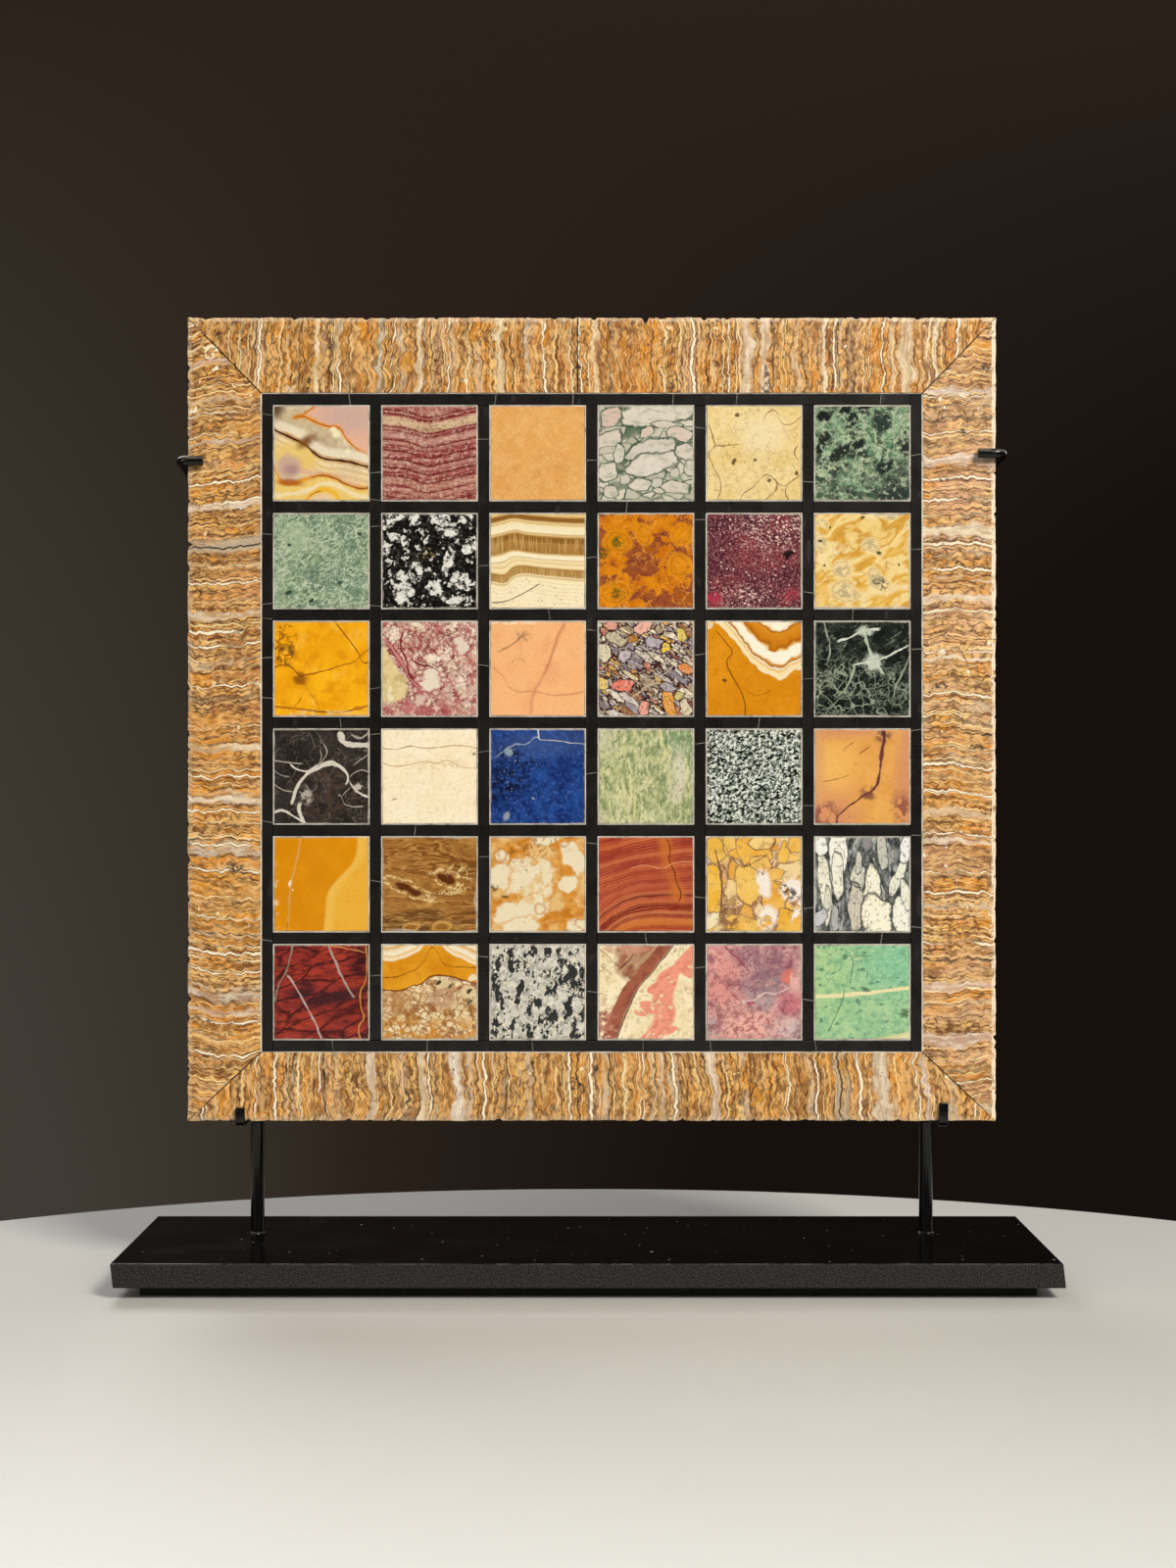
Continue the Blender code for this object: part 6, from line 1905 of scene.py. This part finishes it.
def bent_path(corners, radius, steps=12):
    """The corners as a path whose inner corners are arcs of this radius."""
    corners = [Vector(corner) for corner in corners]
    path = [corners[0]]
    for before, corner, after in zip(corners, corners[1:], corners[2:]):
        back, ahead = (before - corner).normalized(), (after - corner).normalized()
        half = back.angle(ahead) / 2
        centre = corner + (back + ahead).normalized() * (radius / math.sin(half))
        start = corner + back * (radius / math.tan(half)) - centre
        turn = start.rotation_difference(corner + ahead * (radius / math.tan(half)) - centre)
        for step in range(steps + 1):
            path.append(centre + Quaternion(turn.axis, turn.angle * step / steps) @ start)
    return [*path, corners[-1]]


def bar_along(path, radius=0.0):
    """A round bar along the path, or with no radius only its line."""
    curve = bpy.data.curves.new("bar", "CURVE")
    curve.dimensions = "3D"
    curve.bevel_depth = radius
    curve.bevel_resolution = 10
    curve.use_fill_caps = True
    spline = curve.splines.new("POLY")
    spline.points.add(len(path) - 1)
    for point, place in zip(spline.points, path):
        point.co = (*place, 1)
    guide = linked("bar", curve)
    mesh = bpy.data.meshes.new_from_object(guide)
    bpy.data.objects.remove(guide)
    bm = bmesh.new()
    bm.from_mesh(mesh)
    bpy.data.meshes.remove(mesh)
    bmesh.ops.remove_doubles(bm, verts=bm.verts, dist=1e-6)
    return bm


def ease_ends(bm, offset):
    """Bevels the sharp edges, as a file does."""
    bmesh.ops.recalc_face_normals(bm, faces=bm.faces)
    sharp = [e for e in bm.edges if e.is_manifold and e.calc_face_angle() > math.radians(60)]
    ease(bm, sharp, offset, 3)


def weld_bead(middle, radius, thick, seed):
    """A lumpy ring of weld round an upright bar at this place."""
    bm = bmesh.new()
    bmesh.ops.create_circle(bm, segments=16, radius=thick, matrix=Matrix.Rotation(math.pi / 2, 4, "X"))
    bmesh.ops.translate(bm, vec=(radius, 0, 0), verts=bm.verts)
    bmesh.ops.spin(bm, geom=bm.edges[:], cent=(0, 0, 0), axis=(0, 0, 1), angle=2 * math.pi, steps=48,
                   use_merge=True)
    bmesh.ops.translate(bm, vec=middle, verts=bm.verts)
    for vert in bm.verts:
        vert.co += Vector(wander(vert.co, 1.1 * MM, seed + n) for n in range(3)) * thick * 0.35
    return bm


def add_part(bm, part):
    mesh = bpy.data.meshes.new("part")
    part.to_mesh(mesh)
    part.free()
    bm.from_mesh(mesh)
    bpy.data.meshes.remove(mesh)


def make_upright(name, sign, steel):
    """The rod with the arm round the tablet's edge and the hook under it, welded on."""
    low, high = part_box(name)
    outer, inner = (low.x, high.x) if sign < 0 else (high.x, low.x)
    x, back = inner + sign * ROD_RADIUS, high.y - ROD_RADIUS
    clip_z = high.z - ARM_RADIUS
    arm_z = clip_z - CLIP_RISE[name]
    bm = bar_along([(x, back, low.z), (x, back, arm_z + ARM_RADIUS)], ROD_RADIUS)
    ease_ends(bm, 0.5)
    edge_x = outer - sign * ARM_RADIUS
    tip_x = outer - sign * (2 * ARM_RADIUS + ARM_OUT + CLIP_REACH[name])
    front = low.y + ARM_RADIUS
    arm_corners = (
        (x, back, arm_z), (edge_x, back, arm_z), (edge_x, front, clip_z), (tip_x, front, clip_z),
    )
    arm = bar_along(bent_path(arm_corners, ARM_BEND), ARM_RADIUS)
    ease_ends(arm, 0.3)
    add_part(bm, arm)
    hook_x, under = x + sign * HOOK_OUT, TABLET_LOW.z - CLEARANCE - HOOK_THICK / 2
    hook_y = FACE_Y - CLEARANCE - HOOK_THICK / 2
    hook_corners = (
        (hook_x, back + ROD_RADIUS / 2, under), (hook_x, hook_y, under),
        (hook_x, hook_y, TABLET_LOW.z + HOOK_HEIGHT[name]),
    )
    hook = bar_along(bent_path(hook_corners, HOOK_BEND))
    widened = bmesh.ops.extrude_edge_only(hook, edges=hook.edges[:])["geom"]
    moved = [item for item in widened if isinstance(item, bmesh.types.BMVert)]
    bmesh.ops.translate(hook, vec=(HOOK_WIDTH, 0, 0), verts=moved)
    bmesh.ops.translate(hook, vec=(-HOOK_WIDTH / 2, 0, 0), verts=hook.verts)
    bmesh.ops.recalc_face_normals(hook, faces=hook.faces)
    bmesh.ops.solidify(hook, geom=hook.faces[:], thickness=HOOK_THICK)
    ease_ends(hook, 0.25)
    add_part(bm, hook)
    bead_z = min(under, TABLET_LOW.z - CLEARANCE - 0.6 * MM)
    add_part(bm, weld_bead((x, back, bead_z - 0.9 * MM), ROD_RADIUS - 0.2 * MM, 0.55 * MM, sign + 4.0))
    add_part(bm, weld_bead((x, back, PLATE_HIGH.z + 0.1 * MM), ROD_RADIUS + 0.1 * MM, 0.4 * MM, sign + 9.0))
    made = piece(name + "_steel", bm, steel, [name])
    made.data.shade_smooth()
    made.data.set_sharp_from_angle(angle=math.radians(35))


# ------------------------------------------------------------------ floor, light and camera


def plain_material(name, code, roughness):
    material = bpy.data.materials.new(name)
    material.use_nodes = True
    shader = material.node_tree.nodes["Principled BSDF"]
    shader.inputs["Base Color"].default_value = linear(code)
    shader.inputs["Roughness"].default_value = roughness
    return material


FLOOR_RADIUS = 0.4
FLOOR_FAR = 0.2


def make_floor():
    bm = bmesh.new()
    bmesh.ops.create_circle(bm, cap_ends=True, segments=256, radius=FLOOR_RADIUS)
    bmesh.ops.translate(bm, vec=(0, FLOOR_FAR - FLOOR_RADIUS, 0), verts=bm.verts)
    mesh = bpy.data.meshes.new("floor")
    bm.to_mesh(mesh)
    bm.free()
    mesh.materials.append(plain_material("pale_floor", "D0CFCB", 0.6))
    linked("floor", mesh)


def area_light(name, place, target, size, power, tint=(1, 1, 1), spread=180):
    light = bpy.data.lights.new(name, "AREA")
    light.shape = "RECTANGLE"
    light.size, light.size_y = size
    light.energy = power
    light.spread = math.radians(spread)
    light.color = tint
    obj = linked(name, light)
    obj.location = place
    obj.rotation_mode = "QUATERNION"
    obj.rotation_quaternion = (Vector(target) - Vector(place)).to_track_quat("-Z", "Y")


def make_backdrop():
    """A dark studio wall, even above and fading from left to right lower down."""
    world = bpy.data.worlds.new("dim_room")
    bpy.context.scene.world = world
    world.use_nodes = True
    tree = Tree(world.node_tree)
    way = tree.node("SeparateXYZ", {0: tree.node("TexCoord").outputs["Generated"]}).outputs
    lower = tree.either(tree.times_plus(way[2], -9.0, 2.7), 0.0)
    fade = tree.times_plus(tree.plus(way[0], 0.09), lower, 0.45)
    shade = tree.ramp(fade, "0 403B34, 25 37312A, 45 2B221B, 70 211A15, 100 17110E")
    world.node_tree.links.new(shade, world.node_tree.nodes["Background"].inputs["Color"])


def make_lights():
    middle = (0, 0, 0.2)
    area_light("key", (0.9, -1.5, 1.4), middle, (0.6, 0.6), 45, (1.0, 0.95, 0.86))
    area_light("fill", (-1.5, -1.3, 0.7), middle, (1.2, 1.2), 10, (1.0, 0.97, 0.94))
    area_light("back", (-0.6, 1.6, 1.3), middle, (1.0, 0.8), 14)
    area_light("back_right", (1.5, 0.9, 0.8), middle, (0.8, 0.8), 7)
    area_light("low_front", (0, -0.5, 1.0), (0, -0.45, 0), (0.5, 0.2), 0.42, (0.86, 0.94, 1.0), 45)
    bpy.context.scene.view_settings.view_transform = "Standard"


def make_camera():
    data = bpy.data.cameras.new("camera")
    data.lens = 58.16
    data.sensor_width = 36
    data.shift_y = 0.00375
    data.clip_start = 0.01
    camera = linked("camera", data)
    camera.location = (0, -0.9485, 0.181)
    camera.rotation_euler = (math.pi / 2, 0, 0)
    bpy.context.scene.camera = camera


STAND_NODES = ("foot", "plate", "left_upright", "right_upright", "backing_slab", "black_lattice")
TILES = [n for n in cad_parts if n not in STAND_NODES and not n.startswith("border")]

make_groups()
for number, tile in enumerate(sorted(TILES)):
    specimen(tile, number + 1.0)
black_strips()
joint_putty()
make_border()
backing_slab()
make_plate()
steel = steel_material("black_painted_rod", 0.13, 23.0, 0.3, 0.0, 0.36, 0.12)
make_upright("left_upright", -1, steel)
make_upright("right_upright", 1, steel)
make_floor()
make_backdrop()
make_lights()
make_camera()
